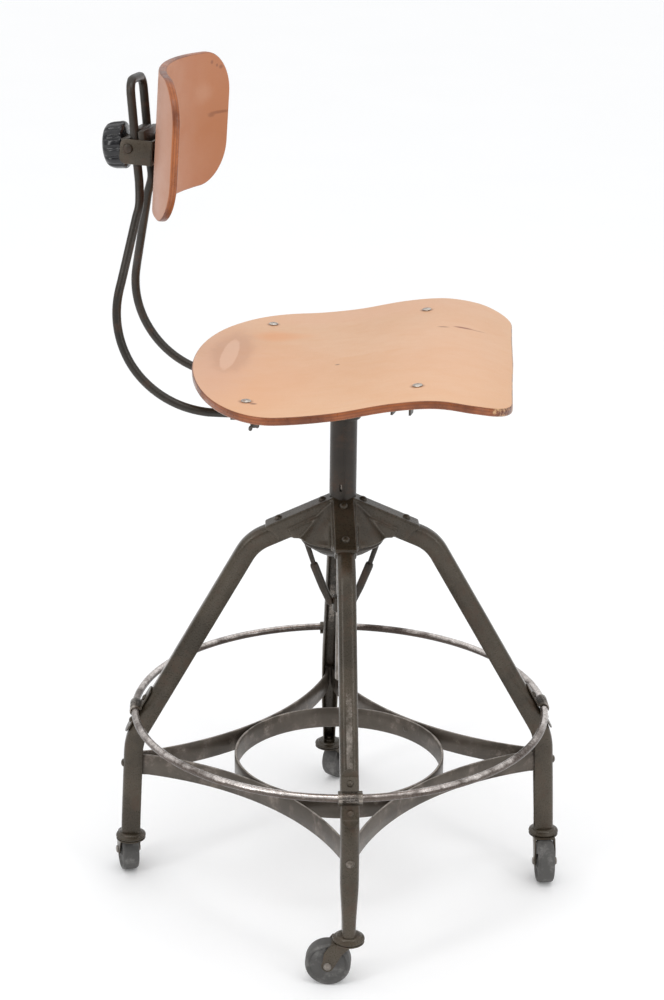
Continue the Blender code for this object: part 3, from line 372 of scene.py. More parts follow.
def veneer(name, light, warm, pore, drift, marks=()):
    """Plywood face whose grain follows the panel's own flat map."""
    made, tree, shader = surface(name)
    flat = add(tree, "ShaderNodeUVMap", {"uv_map": "flat"}).outputs[0]
    face = add(tree, "ShaderNodeGroup", {"node_tree": VENEER}, Where=flat, Light=colour(light),
        Warm=colour(warm), Pore=colour(pore), Drift=drift)
    tone, rough = face.outputs["Color"], face.outputs["Roughness"]
    for centre, size, soft, fray, tint, strength in marks:
        mask = add(tree, "ShaderNodeGroup", {"node_tree": STAIN}, Where=flat, Centre=(*centre, 0),
            Size=(*size, 1), Soft=soft, Fray=fray).outputs[0]
        tone = mixed(tree, times(tree, mask, strength), tone, colour(tint))
    tree.links.new(tone, shader.inputs["Base Color"])
    tree.links.new(rough, shader.inputs["Roughness"])
    shader.inputs["Specular IOR Level"].default_value = 0.30
    shader.inputs["Coat Weight"].default_value = 0.08
    shader.inputs["Coat Roughness"].default_value = 0.30
    bump(tree, shader, face.outputs["Height"], 0.22, 0.0004)
    return made


def ply_edge(name, dark, amber, pale):
    """Varnished edge: thin layers, amber varnish, dark knocks and pale chips."""
    made, tree, shader = surface(name)
    flat = add(tree, "ShaderNodeUVMap", {"uv_map": "flat"}).outputs[0]
    where = add(tree, "ShaderNodeTexCoord").outputs["Object"]
    depth = add(tree, "ShaderNodeAttribute", {"attribute_name": "depth"}).outputs["Fac"]
    wave = maths(tree, "SINE", times(tree, depth, math.tau * 3.0))
    fibre = noise(tree, flat, 60.0, 5.0, 0.6)
    layer = ramp(tree, plus(tree, wave, swing(tree, fibre, 1.2)), -0.3, 0.5)
    broad = noise(tree, where, 16.0, 5.0, 0.6)
    knocks = noise(tree, where, 150.0, 7.0, 0.7)
    tone = mixed(tree, ramp(tree, broad, 0.38, 0.64), colour(dark), colour(amber))
    tone = mixed(tree, times(tree, layer, 0.40), tone, colour(dark))
    tone = mixed(tree, ramp(tree, knocks, 0.56, 0.72, 0.0, 0.7), tone, colour(dark))
    wear = add(tree, "ShaderNodeAttribute", {"attribute_name": "wear"}).outputs["Fac"]
    chipped = ramp(tree, plus(tree, wear, swing(tree, knocks, 1.6)), 0.45, 0.70)
    tone = mixed(tree, chipped, tone, colour(pale))
    tree.links.new(tone, shader.inputs["Base Color"])
    tree.links.new(ramp(tree, knocks, 0.3, 0.7, 0.22, 0.50), shader.inputs["Roughness"])
    shader.inputs["Specular IOR Level"].default_value = 0.35
    shader.inputs["Coat Weight"].default_value = 0.25
    shader.inputs["Coat Roughness"].default_value = 0.22
    bump(tree, shader, plus(tree, times(tree, layer, 0.5), knocks), 0.35, 0.0004)
    return made


def moulding(name, base, dust, gloss, grain):
    """Black moulding or hard tread: fine dust in the hollows of the noise and a broken gloss."""
    made, tree, shader = surface(name)
    where = add(tree, "ShaderNodeTexCoord").outputs["Object"]
    cloud = noise(tree, where, 70.0, 7.0, 0.65)
    fine = noise(tree, where, 900.0, 4.0, 0.6)
    tree.links.new(mixed(tree, ramp(tree, cloud, 0.48, 0.72, 0.0, 0.8), colour(base), colour(dust)),
                   shader.inputs["Base Color"])
    tree.links.new(ramp(tree, cloud, 0.3, 0.7, gloss, gloss + 0.18), shader.inputs["Roughness"])
    bump(tree, shader, plus(tree, fine, cloud), grain, 0.0004)
    return made


PAINT = metal("gunmetal_paint", (0.038, 0.029, 0.018), (0.072, 0.057, 0.039), 0.45, 0.29)
COLUMN_PAINT = metal("column_paint", (0.016, 0.0105, 0.006), (0.034, 0.024, 0.015), 0.5, 0.36)
ROD_PAINT = metal("rod_paint", (0.018, 0.015, 0.011), (0.040, 0.033, 0.026), 0.5, 0.32)
# the pale steel where the ring is bare is partly a painted highlight along the top of the ring
RING_STEEL = metal("ring_steel", (0.060, 0.042, 0.033), (0.120, 0.095, 0.080), 0.60, 0.26, (0.76, 0.71, 0.68))
DARK = metal("dark_steel", (0.020, 0.015, 0.010), (0.045, 0.035, 0.025), 0.55, 0.38)
STRAP = metal("strap_paint", (0.066, 0.053, 0.041), (0.110, 0.091, 0.073), 0.45, 0.36)
WORN = metal("worn_steel", (0.085, 0.072, 0.060), (0.160, 0.142, 0.124), 0.50, 0.36)
BRIGHT = metal("bolt_steel", (0.42, 0.38, 0.33), (0.60, 0.56, 0.50), 0.35, 0.34, (0.62, 0.58, 0.53),
    (0.22, 0.12, 0.07), 0.8)
PLATE = metal("iron_paint", (0.020, 0.016, 0.012), (0.055, 0.045, 0.036), 0.7, 0.45)
BAKELITE = moulding("bakelite", (0.007, 0.007, 0.009), (0.020, 0.019, 0.019), 0.09, 0.03)
TREAD = moulding("caster_tread", (0.078, 0.075, 0.071), (0.220, 0.213, 0.204), 0.50, 0.45)

PALE = (0.712, 0.440, 0.268)
RUST_RING = (0.0074, 0.0074), 0.25, 0.6, (0.30, 0.13, 0.07), 0.60
SEAT_MARKS = [
    ((-0.100, -0.070), (0.070, 0.130), 0.7, 0.6, (0.72, 0.38, 0.21), 0.55),
    ((-0.145, -0.010), (0.035, 0.160), 0.8, 0.6, (0.60, 0.34, 0.25), 0.40),
    ((0.120, 0.000), (0.060, 0.170), 0.8, 0.5, (0.74, 0.44, 0.28), 0.40),
    ((0.010, 0.180), (0.150, 0.030), 0.8, 0.5, (0.74, 0.42, 0.27), 0.40),
    ((-0.127, 0.026), (0.022, 0.078), 0.28, 0.9, (0.46, 0.22, 0.12), 0.38),
    ((-0.129, 0.016), (0.0088, 0.060), 0.10, 0.25, (0.70, 0.42, 0.28), 0.92),
    ((-0.084, 0.101), (0.020, 0.018), 0.7, 0.9, (0.72, 0.30, 0.11), 0.60),
    ((-0.060, 0.103), (0.018, 0.010), 0.7, 0.9, (0.70, 0.33, 0.15), 0.40),
    ((0.129, 0.082), (0.010, 0.0028), 0.5, 1.4, (0.30, 0.10, 0.05), 0.95),
    ((0.106, 0.077), (0.006, 0.0018), 0.5, 0.8, (0.25, 0.10, 0.06), 0.80),
    ((0.145, 0.080), (0.008, 0.0016), 0.6, 0.8, (0.40, 0.18, 0.10), 0.60),
    ((-0.0063, -0.0271), (0.0024, 0.0018), 0.5, 0.3, (0.22, 0.10, 0.06), 0.85),
    ((-0.0846, -0.1600), (0.0034, 0.0024), 0.5, 0.8, (0.22, 0.08, 0.04), 0.85),
] + [(place, *RUST_RING) for place in BOLTS.values()]
BACK_MARKS = [
    ((0.125, -0.020), (0.060, 0.060), 0.8, 0.6, (0.44, 0.165, 0.06), 0.70),
    ((0.135, 0.0060), (0.018, 0.0017), 0.5, 0.9, (0.26, 0.085, 0.03), 0.85),
    ((0.120, 0.0038), (0.006, 0.0022), 0.6, 0.9, (0.24, 0.08, 0.03), 0.70),
    ((0.1157, 0.0627), (0.0026, 0.0020), 0.5, 0.5, (0.16, 0.06, 0.04), 0.85),
    ((0.1259, 0.0586), (0.0020, 0.0016), 0.5, 0.5, (0.16, 0.06, 0.04), 0.80),
    ((0.1337, 0.0564), (0.0034, 0.0022), 0.5, 0.8, (0.16, 0.06, 0.04), 0.80),
    ((0.105, 0.045), (0.045, 0.035), 0.8, 0.6, (0.47, 0.19, 0.09), 0.45),
    ((-0.020, -0.050), (0.110, 0.030), 0.9, 0.5, (0.54, 0.27, 0.16), 0.45),
    ((0.100, 0.030), (0.016, 0.010), 0.7, 0.8, (0.58, 0.33, 0.22), 0.30),
]
SEAT_FACE = veneer("seat_face", PALE, (0.680, 0.375, 0.200), (0.42, 0.22, 0.13), 0.60, SEAT_MARKS)
SEAT_UNDER = veneer("seat_under", (0.42, 0.24, 0.14), (0.34, 0.17, 0.09), (0.20, 0.10, 0.06), 0.6)
SEAT_EDGE = ply_edge("seat_edge", (0.125, 0.032, 0.010), (0.340, 0.100, 0.030), (0.58, 0.34, 0.17))
BACK_FACE = veneer("back_face", (0.480, 0.200, 0.096), (0.445, 0.158, 0.064), (0.24, 0.09, 0.04), 0.75,
    BACK_MARKS)
BACK_REAR = veneer("back_rear", (0.480, 0.250, 0.168), (0.440, 0.205, 0.125), (0.26, 0.12, 0.07), 0.55)
BACK_EDGE = ply_edge("back_edge", (0.150, 0.036, 0.010), (0.400, 0.120, 0.032), (0.56, 0.28, 0.12))


# --- mesh tools ---------------------------------------------------------------------------
def verts_of(geometry):
    return [item for item in geometry if isinstance(item, bmesh.types.BMVert)]


def edges_of(geometry):
    return [item for item in geometry if isinstance(item, bmesh.types.BMEdge)]


def piece(name, bm, body, finish, stands_for=(), place=None, wear=None, smooth=35.0):
    """Finish a bmesh as a piece that rides on a body; wear(point) says how rubbed a place is."""
    if place:
        bmesh.ops.transform(bm, matrix=place, verts=bm.verts)
    bmesh.ops.remove_doubles(bm, verts=bm.verts, dist=1e-6)
    bmesh.ops.recalc_face_normals(bm, faces=bm.faces)
    rub = bm.verts.layers.float.new("wear")
    back = place.inverted() if place else Matrix()
    if wear:
        for vert in bm.verts:
            vert[rub] = wear(back @ vert.co)
    mesh = bpy.data.meshes.new(name)
    bm.to_mesh(mesh)
    bm.free()
    mesh.shade_smooth()
    mesh.set_sharp_from_angle(angle=math.radians(smooth))
    for each in finish if isinstance(finish, list) else [finish]:
        mesh.materials.append(each)
    made = bpy.data.objects.new(name, mesh)
    bpy.context.scene.collection.objects.link(made)
    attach(made, body)
    if stands_for:
        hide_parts(*stands_for)
    return made


def turned(profile, steps=48, closed=True):
    """Spin a profile of (radius, height) points round Z."""
    bm = bmesh.new()
    verts = [bm.verts.new((radius, 0.0, height)) for radius, height in profile]
    edges = [bm.edges.new(pair) for pair in zip(verts, verts[1:])]
    if closed:
        edges.append(bm.edges.new((verts[-1], verts[0])))
    bmesh.ops.spin(bm, geom=verts + edges, cent=(0, 0, 0), axis=(0, 0, 1), angle=math.tau, steps=steps,
        use_merge=True, use_duplicate=False)
    bmesh.ops.remove_doubles(bm, verts=bm.verts, dist=1e-6)
    return bm


def rod(radius, low, high, steps=32, ease=0.0004):
    """Round bar along Z with eased ends."""
    return turned([(0, low), (radius - ease, low), (radius, low + ease), (radius, high - ease),
        (radius - ease, high), (0, high)], steps, closed=False)


def rivet(radius, height, sink=0.0010, steps=24):
    """Domed head on Z = 0."""
    points = [(0, -sink), (radius, -sink)]
    for i in range(1, 8):
        angle = math.pi / 2 * i / 7
        points.append((radius * math.cos(angle) if i < 7 else 0.0, height * math.sin(angle)))
    return turned(points, steps, closed=False)


def rounded(bm, edges, radius, steps):
    bmesh.ops.bevel(bm, geom=edges, offset=radius, offset_type="OFFSET", segments=steps, profile=0.5,
        affect="EDGES", clamp_overlap=True, material=-1)


def slab(outline, low, high, ease=0.0):
    """Extrude a flat outline from Z low to high and ease its edges."""
    bm = bmesh.new()
    face = bm.faces.new([bm.verts.new((x, y, low)) for x, y in outline])
    made = bmesh.ops.extrude_face_region(bm, geom=[face])["geom"]
    bmesh.ops.translate(bm, vec=(0, 0, high - low), verts=verts_of(made))
    bmesh.ops.recalc_face_normals(bm, faces=bm.faces)
    if ease:
        rounded(bm, [edge for edge in bm.edges if edge.calc_face_angle(0.0) > math.radians(50)], ease, 2)
    return bm


def box(low, high, ease=0.0004):
    return slab([(low[0], low[1]), (high[0], low[1]), (high[0], high[1]), (low[0], high[1])], low[2],
        high[2], ease)


def moved(bm, place):
    bmesh.ops.transform(bm, matrix=place, verts=bm.verts)
    return bm


def gathered(*shapes):
    """Put several bmeshes in one."""
    whole = bmesh.new()
    for shape in shapes:
        mesh = bpy.data.meshes.new("part")
        shape.to_mesh(mesh)
        shape.free()
        whole.from_mesh(mesh)
        bpy.data.meshes.remove(mesh)
    return whole


def evaluated(bm, kind, **settings):
    """The bmesh after one modifier."""
    mesh = bpy.data.meshes.new("working")
    bm.to_mesh(mesh)
    bm.free()
    holder = bpy.data.objects.new("working", mesh)
    bpy.context.scene.collection.objects.link(holder)
    modifier = holder.modifiers.new("working", kind)
    for key, value in settings.items():
        setattr(modifier, key, value)
    result = bmesh.new()
    result.from_object(holder, bpy.context.evaluated_depsgraph_get())
    bpy.data.objects.remove(holder)
    return result


def cut(first, second, operation="DIFFERENCE"):
    mesh = bpy.data.meshes.new("cutter")
    second.to_mesh(mesh)
    second.free()
    cutter = bpy.data.objects.new("cutter", mesh)
    bpy.context.scene.collection.objects.link(cutter)
    result = evaluated(first, "BOOLEAN", operation=operation, solver="EXACT", object=cutter)
    bpy.data.objects.remove(cutter)
    return result


def arc(centre, radius, start, end, steps):
    angles = (math.radians(start + (end - start) * i / steps) for i in range(steps + 1))
    return [(centre[0] + radius * math.cos(a), centre[1] + radius * math.sin(a)) for a in angles]


def filleted(before, corner, after, radius, steps):
    """The points of a rounded corner between two straight lines in a plane."""
    corner = Vector(corner)
    first = (Vector(before) - corner).normalized()
    second = (Vector(after) - corner).normalized()
    half = first.angle(second) / 2
    centre = corner + (first + second).normalized() * (radius / math.sin(half))
    reach = radius / math.tan(half)
    start = corner + first * reach - centre
    turn = start.angle_signed(corner + second * reach - centre)
    points = []
    for i in range(steps + 1):
        angle = -turn * i / steps
        points.append((centre.x + start.x * math.cos(angle) - start.y * math.sin(angle),
                       centre.y + start.x * math.sin(angle) + start.y * math.cos(angle)))
    return points


def swept(section, stations):
    """Draw a closed section along a row of frames by extruding its edge loop, and cap both ends."""
    bm = bmesh.new()
    verts = [bm.verts.new(stations[0] @ Vector((x, y, 0))) for x, y in section]
    edges = [bm.edges.new(pair) for pair in zip(verts, verts[1:] + verts[:1])]
    bm.faces.new(verts)
    for here, following in zip(stations, stations[1:]):
        made = bmesh.ops.extrude_edge_only(bm, edges=edges)["geom"]
        fresh = set(verts_of(made))
        edges = [edge for edge in edges_of(made) if all(vert in fresh for vert in edge.verts)]
        bmesh.ops.transform(bm, matrix=following @ here.inverted(), verts=list(fresh))
    bmesh.ops.contextual_create(bm, geom=edges)
    return bm


def heading(points, i):
    """Direction of a row of points at point i."""
    return (Vector(points[min(i + 1, len(points) - 1)]) - Vector(points[max(i - 1, 0)])).normalized()


def axes(side, rise, run, origin):
    """Matrix whose X, Y and Z are the given directions."""
    return Matrix((*zip(side, rise, run, origin), (0, 0, 0, 1)))


def along(points):
    """Frames on a row of points in space, Z along the row, Y as near to upright as it can be."""
    stations = []
    for i, point in enumerate(points):
        run = heading(points, i)
        side = Vector((0, 0, 1)).cross(run).normalized()
        stations.append(axes(side, run.cross(side), run, point))
    return stations


def circle(radius, steps):
    return arc((0, 0), radius, 0, 360 - 360 / steps, steps - 1)


def smooth_route(points, spacing):
    """Points every so often on a smooth curve through the given ones."""
    vectors = [Vector(point) for point in points]
    fine = []
    for i in range(len(vectors) - 1):
        p0, p1, p2, p3 = (vectors[max(i - 1, 0)], vectors[i], vectors[i + 1],
            vectors[min(i + 2, len(vectors) - 1)])
        steps = max(2, round((p2 - p1).length / spacing))
        for k in range(steps):
            t = k / steps
            fine.append(0.5 * (2 * p1 + (p2 - p0) * t + (2 * p0 - 5 * p1 + 4 * p2 - p3) * t ** 2
                               + (3 * p1 - p0 - 3 * p2 + p3) * t ** 3))
    return [tuple(point) for point in fine + [vectors[-1]]]


def smooth_line(points, x):
    """Height at x on a smooth curve through the given points."""
    index = max(i for i in range(len(points) - 1) if points[i][0] <= x or i == 0)
    slopes = []
    for i in range(len(points)):
        low = points[max(i - 1, 0)]
        high = points[min(i + 1, len(points) - 1)]
        slopes.append((high[1] - low[1]) / (high[0] - low[0]))
    (x0, z0), (x1, z1) = points[index], points[index + 1]
    span = x1 - x0
    t = (x - x0) / span
    return ((2 * t ** 3 - 3 * t ** 2 + 1) * z0 + (t ** 3 - 2 * t ** 2 + t) * span * slopes[index]
            + (-2 * t ** 3 + 3 * t ** 2) * z1 + (t ** 3 - t ** 2) * span * slopes[index + 1])


def upright(outline, half, middle=0.0, ease=0.0004):
    """Extrude an outline drawn in the XZ plane to both sides of Y = middle."""
    return moved(slab(outline, -half, half, ease), at(0, middle, 0) @ UPRIGHT)


def eased_copy(node, name, finish, ease, wear=None):
    """A CAD node's own shape with its flat faces whole and its edges eased."""
    bm = bmesh.new()
    bm.from_mesh(frame["nodes"][node].data)
    bmesh.ops.remove_doubles(bm, verts=bm.verts, dist=2e-6)
    bmesh.ops.dissolve_limit(bm, angle_limit=math.radians(1.0), verts=bm.verts, edges=bm.edges)
    rounded(bm, [edge for edge in bm.edges if edge.calc_face_angle(0.0) > math.radians(30)], ease, 2)
    return piece(name, bm, frame["nodes"][node]["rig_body"], finish, (node,), wear=wear)


def smoothstep(low, high, value):
    t = max(0.0, min(1.0, (value - low) / (high - low)))
    return t * t * (3 - 2 * t)


# --- legs ---------------------------------------------------------------------------------
def leg_line():
    start = (LEG_START_R, LEG_KNEE[1] + LEG_TOP_SLOPE * (LEG_KNEE[0] - LEG_START_R))
    knee = filleted(start, LEG_KNEE, LEG_ANKLE, 0.060, 14)
    ankle = filleted(LEG_KNEE, LEG_ANKLE, LEG_FOOT, 0.090, 12)
    rough = [start] + knee + ankle + [(0.2530, 0.1120), (0.2546, 0.0780), LEG_FOOT]
    line = []
    for (x0, z0), (x1, z1) in zip(rough, rough[1:]):
        steps = max(1, int(math.hypot(x1 - x0, z1 - z0) / 0.012))
        line += [(x0 + (x1 - x0) * i / steps, z0 + (z1 - z0) * i / steps) for i in range(steps)]
    return line + [LEG_FOOT]


def channel_section(steps=6):
    """Open channel: rounded outer face at y = 0, open side at y = -depth, lips eased."""
    side, depth, wall, corner = LEG_WIDTH / 2, LEG_DEPTH, LEG_WALL, LEG_CORNER
    inner = corner - wall
    ease = wall * 0.45
    outer = ([(side - ease, -depth), (side, -depth + ease)] + arc((side - corner, -corner), corner, 0, 90,
        steps) + arc((corner - side, -corner), corner, 90, 180, steps)
        + [(-side, -depth + ease), (ease - side, -depth)])
    hollow = ([(wall - side, -depth + ease)] + arc((corner - side, -corner), inner, 180, 90, steps)
              + arc((side - corner, -corner), inner, 90, 0, steps) + [(side - wall, -depth + ease)])
    return outer + hollow


def leg_stations():
    line = leg_line()
    stations = []
    for i, (radius, height) in enumerate(line):
        run = heading(line, i)
        out = Vector((-run.y, run.x))
        if out.x < 0:
            out = -out
        pinch = 1 - (1 - FOOT_PINCH) * smoothstep(0.125, 0.066, height) if height < 0.125 else 1.0
        stations.append(axes((0, pinch, 0), (out.x, 0, out.y), (run.x, 0, run.y), (radius, 0, height)))
    return stations


def strap_face():
    share = (STRAP_MIDDLE - LEG_FOOT[1]) / (LEG_ANKLE[1] - LEG_FOOT[1])
    return LEG_FOOT[0] + (LEG_ANKLE[0] - LEG_FOOT[0]) * share


def leg_wear_and_highlight(point):
    """Paler down the middle of the outer face, most of all round the foot ring: partly rubbed paint, partly a
    painted highlight down the middle of the face.
    """
    on_face = smoothstep(0.0062, 0.0030, abs(point.y))
    outside = 1.0 if point.x > 0.10 else 0.3
    near_ring = smoothstep(0.195, 0.235, point.z) * smoothstep(0.40, 0.26, point.z)
    return min(1.0, on_face * outside * (0.16 + 0.42 * near_ring))


def build_legs():
    for side in SIDES:
        body = swept(channel_section(), leg_stations())
        piece(f"leg_{side}_channel", body, "base", PAINT, (f"leg_{side}",), LEGS[side],
            leg_wear_and_highlight, 50)
        head = moved(rivet(0.0048, 0.0032), at(strap_face() - 0.0002, 0, STRAP_MIDDLE) @ ALONG_X)
        piece(f"leg_{side}_rivet", head, "base", PAINT, (), LEGS[side], lambda p: 0.45)


# --- hub ----------------------------------------------------------------------------------
def ridge(radius, above=0.0):
    return LEG_KNEE[1] + LEG_TOP_SLOPE * (LEG_KNEE[0] - radius) + above


def build_hub():
    """Pressed cover: a cone and four arms grown together with soft creases."""
    lift = GAP * 1.5 + COVER_WALL
    half = LEG_WIDTH / 2 + GAP + COVER_WALL
    cone = turned([(0, 0.4290), (0.0300, 0.4290), (COVER_RADIUS, 0.4300), (COVER_RADIUS + 0.001, 0.4320),
                   (0.046, 0.4375), (0.036, 0.4520), (0.024, 0.4665), (0.016, ridge(0.016, lift - 0.0010)),
                   (0, ridge(0.016, lift - 0.0010))], 64, closed=False)
    shapes = [cone]
    for quarter in range(4):
        arm = [(0.006, 0.4300), (0.050, 0.4305), (0.0600, ridge(0.0600, -0.0230)),
            (0.0730, ridge(0.0730, -0.0205)), (0.0800, ridge(0.0800, -0.0080)),
            (ARM_LENGTH, ridge(ARM_LENGTH, -0.0020)), (ARM_LENGTH, ridge(ARM_LENGTH, lift)),
            (0.006, ridge(0.006, lift))]
        flare = upright([(0.006, 0.4300), (0.056, 0.4310), (0.062, 0.4400), (0.030, 0.4560),
            (0.006, 0.4660)], 0.0155, ease=0.0)
        for shape in (upright(arm, half, ease=0.0), flare):
            shapes.append(moved(shape, about_z(quarter * math.pi / 2)))
    cover = evaluated(gathered(*shapes), "REMESH", mode="VOXEL", voxel_size=0.0011, use_smooth_shade=True)
    for _ in range(10):
        bmesh.ops.smooth_vert(cover, verts=cover.verts, factor=0.5, use_axis_x=True, use_axis_y=True,
            use_axis_z=True)

    def rubbed(point):
        reach = math.hypot(point.x, point.y)
        across = min(abs(point.x), abs(point.y))
        crease = smoothstep(0.0035, 0.0005, abs(across - 0.0105)) * smoothstep(0.03, 0.05, reach)
        near_top = smoothstep(-0.006, 0.0, point.z - ridge(reach))
        return 0.12 + 0.16 * crease * near_top

    piece("hub_cover_pressing", cover, "base", PAINT, ("hub_cover",), BASE, rubbed, 80)
    tilt = about_y(math.atan(LEG_TOP_SLOPE))
    heads = []
    for quarter in range(4):
        for radius in (0.0232, 0.0725):
            top = Vector((radius, 0, ridge(radius, lift)))
            heads.append(moved(rivet(0.0047, 0.0034), about_z(quarter * math.pi / 2)
                @ Matrix.Translation(top) @ tilt))
    piece("hub_rivets", gathered(*heads), "base", PAINT, (), BASE, lambda p: 0.4)
    dish = turned([(0.0066, 0.4105), (0.0180, 0.4105), (0.0300, 0.4140), (0.0455, 0.4245), (0.0468, 0.4262),
        (0.0462, 0.4285), (0.0448, 0.4275), (0.0290, 0.4172), (0.0175, 0.4135), (0.0066, 0.4135)], 64)
    piece("hub_dish", dish, "base", DARK, ("hub_plate",), BASE)


def build_stays():
    top = Vector((0.0390, 0, 0.4175))
    bottom = Vector((0.0118, 0, 0.3460))
    axis = (bottom - top).normalized()
    length = (bottom - top).length
    lean = Matrix.Translation(top) @ axis.to_track_quat("Z", "Y").to_matrix().to_4x4()
    for name, turn in (("front", 0.0), ("rear", math.pi)):
        bar = turned([(0, -0.0060), (0.0028, -0.0060), (0.0030, length * 0.10), (0.0028, length * 0.29),
            (0.0044, length * 0.31), (0.0048, length * 0.34), (0.0046, length * 0.7),
            (0.0042, length * 0.97), (0.0036, length), (0, length)], 28, closed=False)
        for vert in bar.verts:
            share = max(0.0, min(1.0, vert.co.z / length))
            vert.co.y += STAY_BOW * math.sin(math.pi * share)
        piece(f"stay_{name}_bar", bar, "base", DARK, (f"stay_{name}",), BASE @ about_z(turn)
            @ lean, lambda p: 0.25)
    guide = turned([(0.0064, 0.3380), (0.0090, 0.3380), (0.0100, 0.3392), (0.0100, 0.3550), (0.0088, 0.3560),
                    (0.0064, 0.3560)], 40)
    piece("lower_guide_eye", guide, "base", DARK, ("lower_guide",), BASE)


# --- column and lift ----------------------------------------------------------------------
def build_column():
    tube = turned([(COLUMN_RADIUS - 0.002, 0.4320), (COLUMN_RADIUS - 0.0004, 0.4320), (COLUMN_RADIUS, 0.4324),
                   (COLUMN_RADIUS, COLUMN_TOP - 0.0006), (COLUMN_RADIUS - 0.0006, COLUMN_TOP),
                   (COLUMN_RADIUS - 0.002, COLUMN_TOP)], 96)
    slot = slab([(-0.0013, -0.0035), (0.0013, -0.0035), (0.0016, 0.0), (0.0013, 0.0045), (-0.0013, 0.0045),
                 (-0.0016, 0.0)], 0.010, 0.020)
    seam = box((-0.0003, -0.0800, 0.01485), (0.0003, 0.0900, 0.0200), 0)
    facing = about_z(math.radians(-12)) @ at(0, 0, 0.490) @ UPRIGHT
    tube = cut(cut(tube, moved(slot, facing)), moved(seam, about_z(math.radians(2)) @ at(0, 0, 0.49)
        @ UPRIGHT))
    piece("column_tube_seamed", tube, "base", COLUMN_PAINT, ("column_tube",), BASE,
          lambda p: 0.10 + 0.25 * smoothstep(0.49, 0.475, p.z), 40)
    bead = turned([(0.0149, 0.4690), (0.0176, 0.4690), (0.0182, 0.4715), (0.0168, 0.4736),
        (0.0150, 0.4742)], 64)
    piece("column_weld", bead, "base", DARK, (), BASE)
    collar = turned([(0.0114, 0.5573), (0.0128, 0.5573), (0.0128, 0.5693), (0.0184, 0.5693), (0.0190, 0.5700),
                     (0.0190, COLLAR_TOP - 0.0010), (0.0180, COLLAR_TOP), (0.0114, COLLAR_TOP)], 64)
    piece("collar_ring", collar, "base", DARK, ("column_collar",), BASE)
    shaft = turned([(0, 0.2520), (0.0048, 0.2520), (0.0060, 0.2532), (0.0060, 0.4440),
        (SPINDLE_RADIUS, 0.4470), (SPINDLE_RADIUS, 0.5980), (0.0100, 0.5990), (0, 0.5990)], 56,
        closed=False)
    piece("spindle_shaft", shaft, "lift", WORN, ("spindle",), COLUMN, lambda p: 0.55)
    eased_copy("lock_screw", "lock_screw_wing", WORN, 0.0004, wear=lambda p: 0.4)


# --- foot ring, clips, stretchers ---------------------------------------------------------
def ring_wear_and_highlight(point):
    """Bright bare steel on top of the ring, more in some stretches than in others: partly rubbed by shoe
    soles, partly a painted highlight along the top.
    """
    angle = math.atan2(point.y, point.x)
    # top of the bar: rubbed steel and painted highlight
    top_wear_and_highlight = smoothstep(-0.002, 0.0035, point.z - RING_HEIGHT)
    patchy = 0.72 + 0.16 * math.sin(angle * 3 + 0.7) + 0.12 * math.sin(angle * 7 + 2.0)
    return min(1.0, 0.18 + 0.62 * top_wear_and_highlight * patchy)


def build_ring():
    ring = turned(arc((RING_RADIUS, RING_HEIGHT), RING_BAR, 0, 345, 23), 240)
    piece("foot_ring_bar", ring, "base", RING_STEEL, ("foot_ring",), BASE, ring_wear_and_highlight, 60)


def clip_frame():
    down = (Vector(LEG_ANKLE) - Vector(LEG_KNEE)).normalized()
    out = Vector((-down.y, down.x))
    away = (Vector((RING_RADIUS, RING_HEIGHT)) - Vector(LEG_KNEE)).dot(down)
    foot = Vector(LEG_KNEE) + down * away
    standoff = (Vector((RING_RADIUS, RING_HEIGHT)) - foot).dot(out)
    return axes((out.x, 0, out.y), (0, 1, 0), (down.x, 0, down.y), (foot.x, 0, foot.y)), standoff


def build_clips():
    place, standoff = clip_frame()
    thick, reach = 0.0015, 0.0228
    inner = RING_BAR + 0.0003
    outer = inner + thick
    low = GAP
    high = low + thick
    inside = arc((standoff, 0), inner, 90, -90, 16)
    outside = arc((standoff, 0), outer, -90, 90, 16)
    for side in SIDES:
        shapes = []
        for end, half in ((reach, 0.0092), (outer + 0.002, 0.0132)):
            outline = ([(low, end), (low, inner)] + inside + [(low, -inner), (low, -end), (high, -end),
                (high, -outer)] + outside + [(high, outer), (high, end)])
            shapes.append(upright(outline, half, ease=0.0005))
        for ends in (-1, 1):
            pad = slab(arc((0, 0), 0.0092, -90, 90, 12), 0.0, thick, 0.0004)
            turn = axes((0, 0, ends), (0, 1, 0), (1, 0, 0), (low, 0, ends * (reach - 0.0004)))
            shapes.append(moved(pad, turn))
            shapes.append(moved(rivet(0.0039, 0.0028), at(high, 0, ends * 0.0158) @ ALONG_X))
        wear = lambda p: 0.16 + 0.50 * smoothstep(0.005, 0.011, p.x)
        piece(f"ring_clip_{side}_saddle", gathered(*shapes), "base", PAINT,
            (f"ring_clip_{side}",), LEGS[side] @ place, wear, 40)


def strap_section():
    t, h, ease = STRAP_THICK / 2, STRAP_HEIGHT / 2, 0.0007
    return [(t, h - ease), (t - ease, h), (ease - t, h), (-t, h - ease), (-t, ease - h), (ease - t, -h),
        (t - ease, -h), (t, ease - h)]


def strap_wear(point):
    return 0.12 + 0.50 * smoothstep(0.0112, 0.0126, abs(point.z - STRAP_MIDDLE))


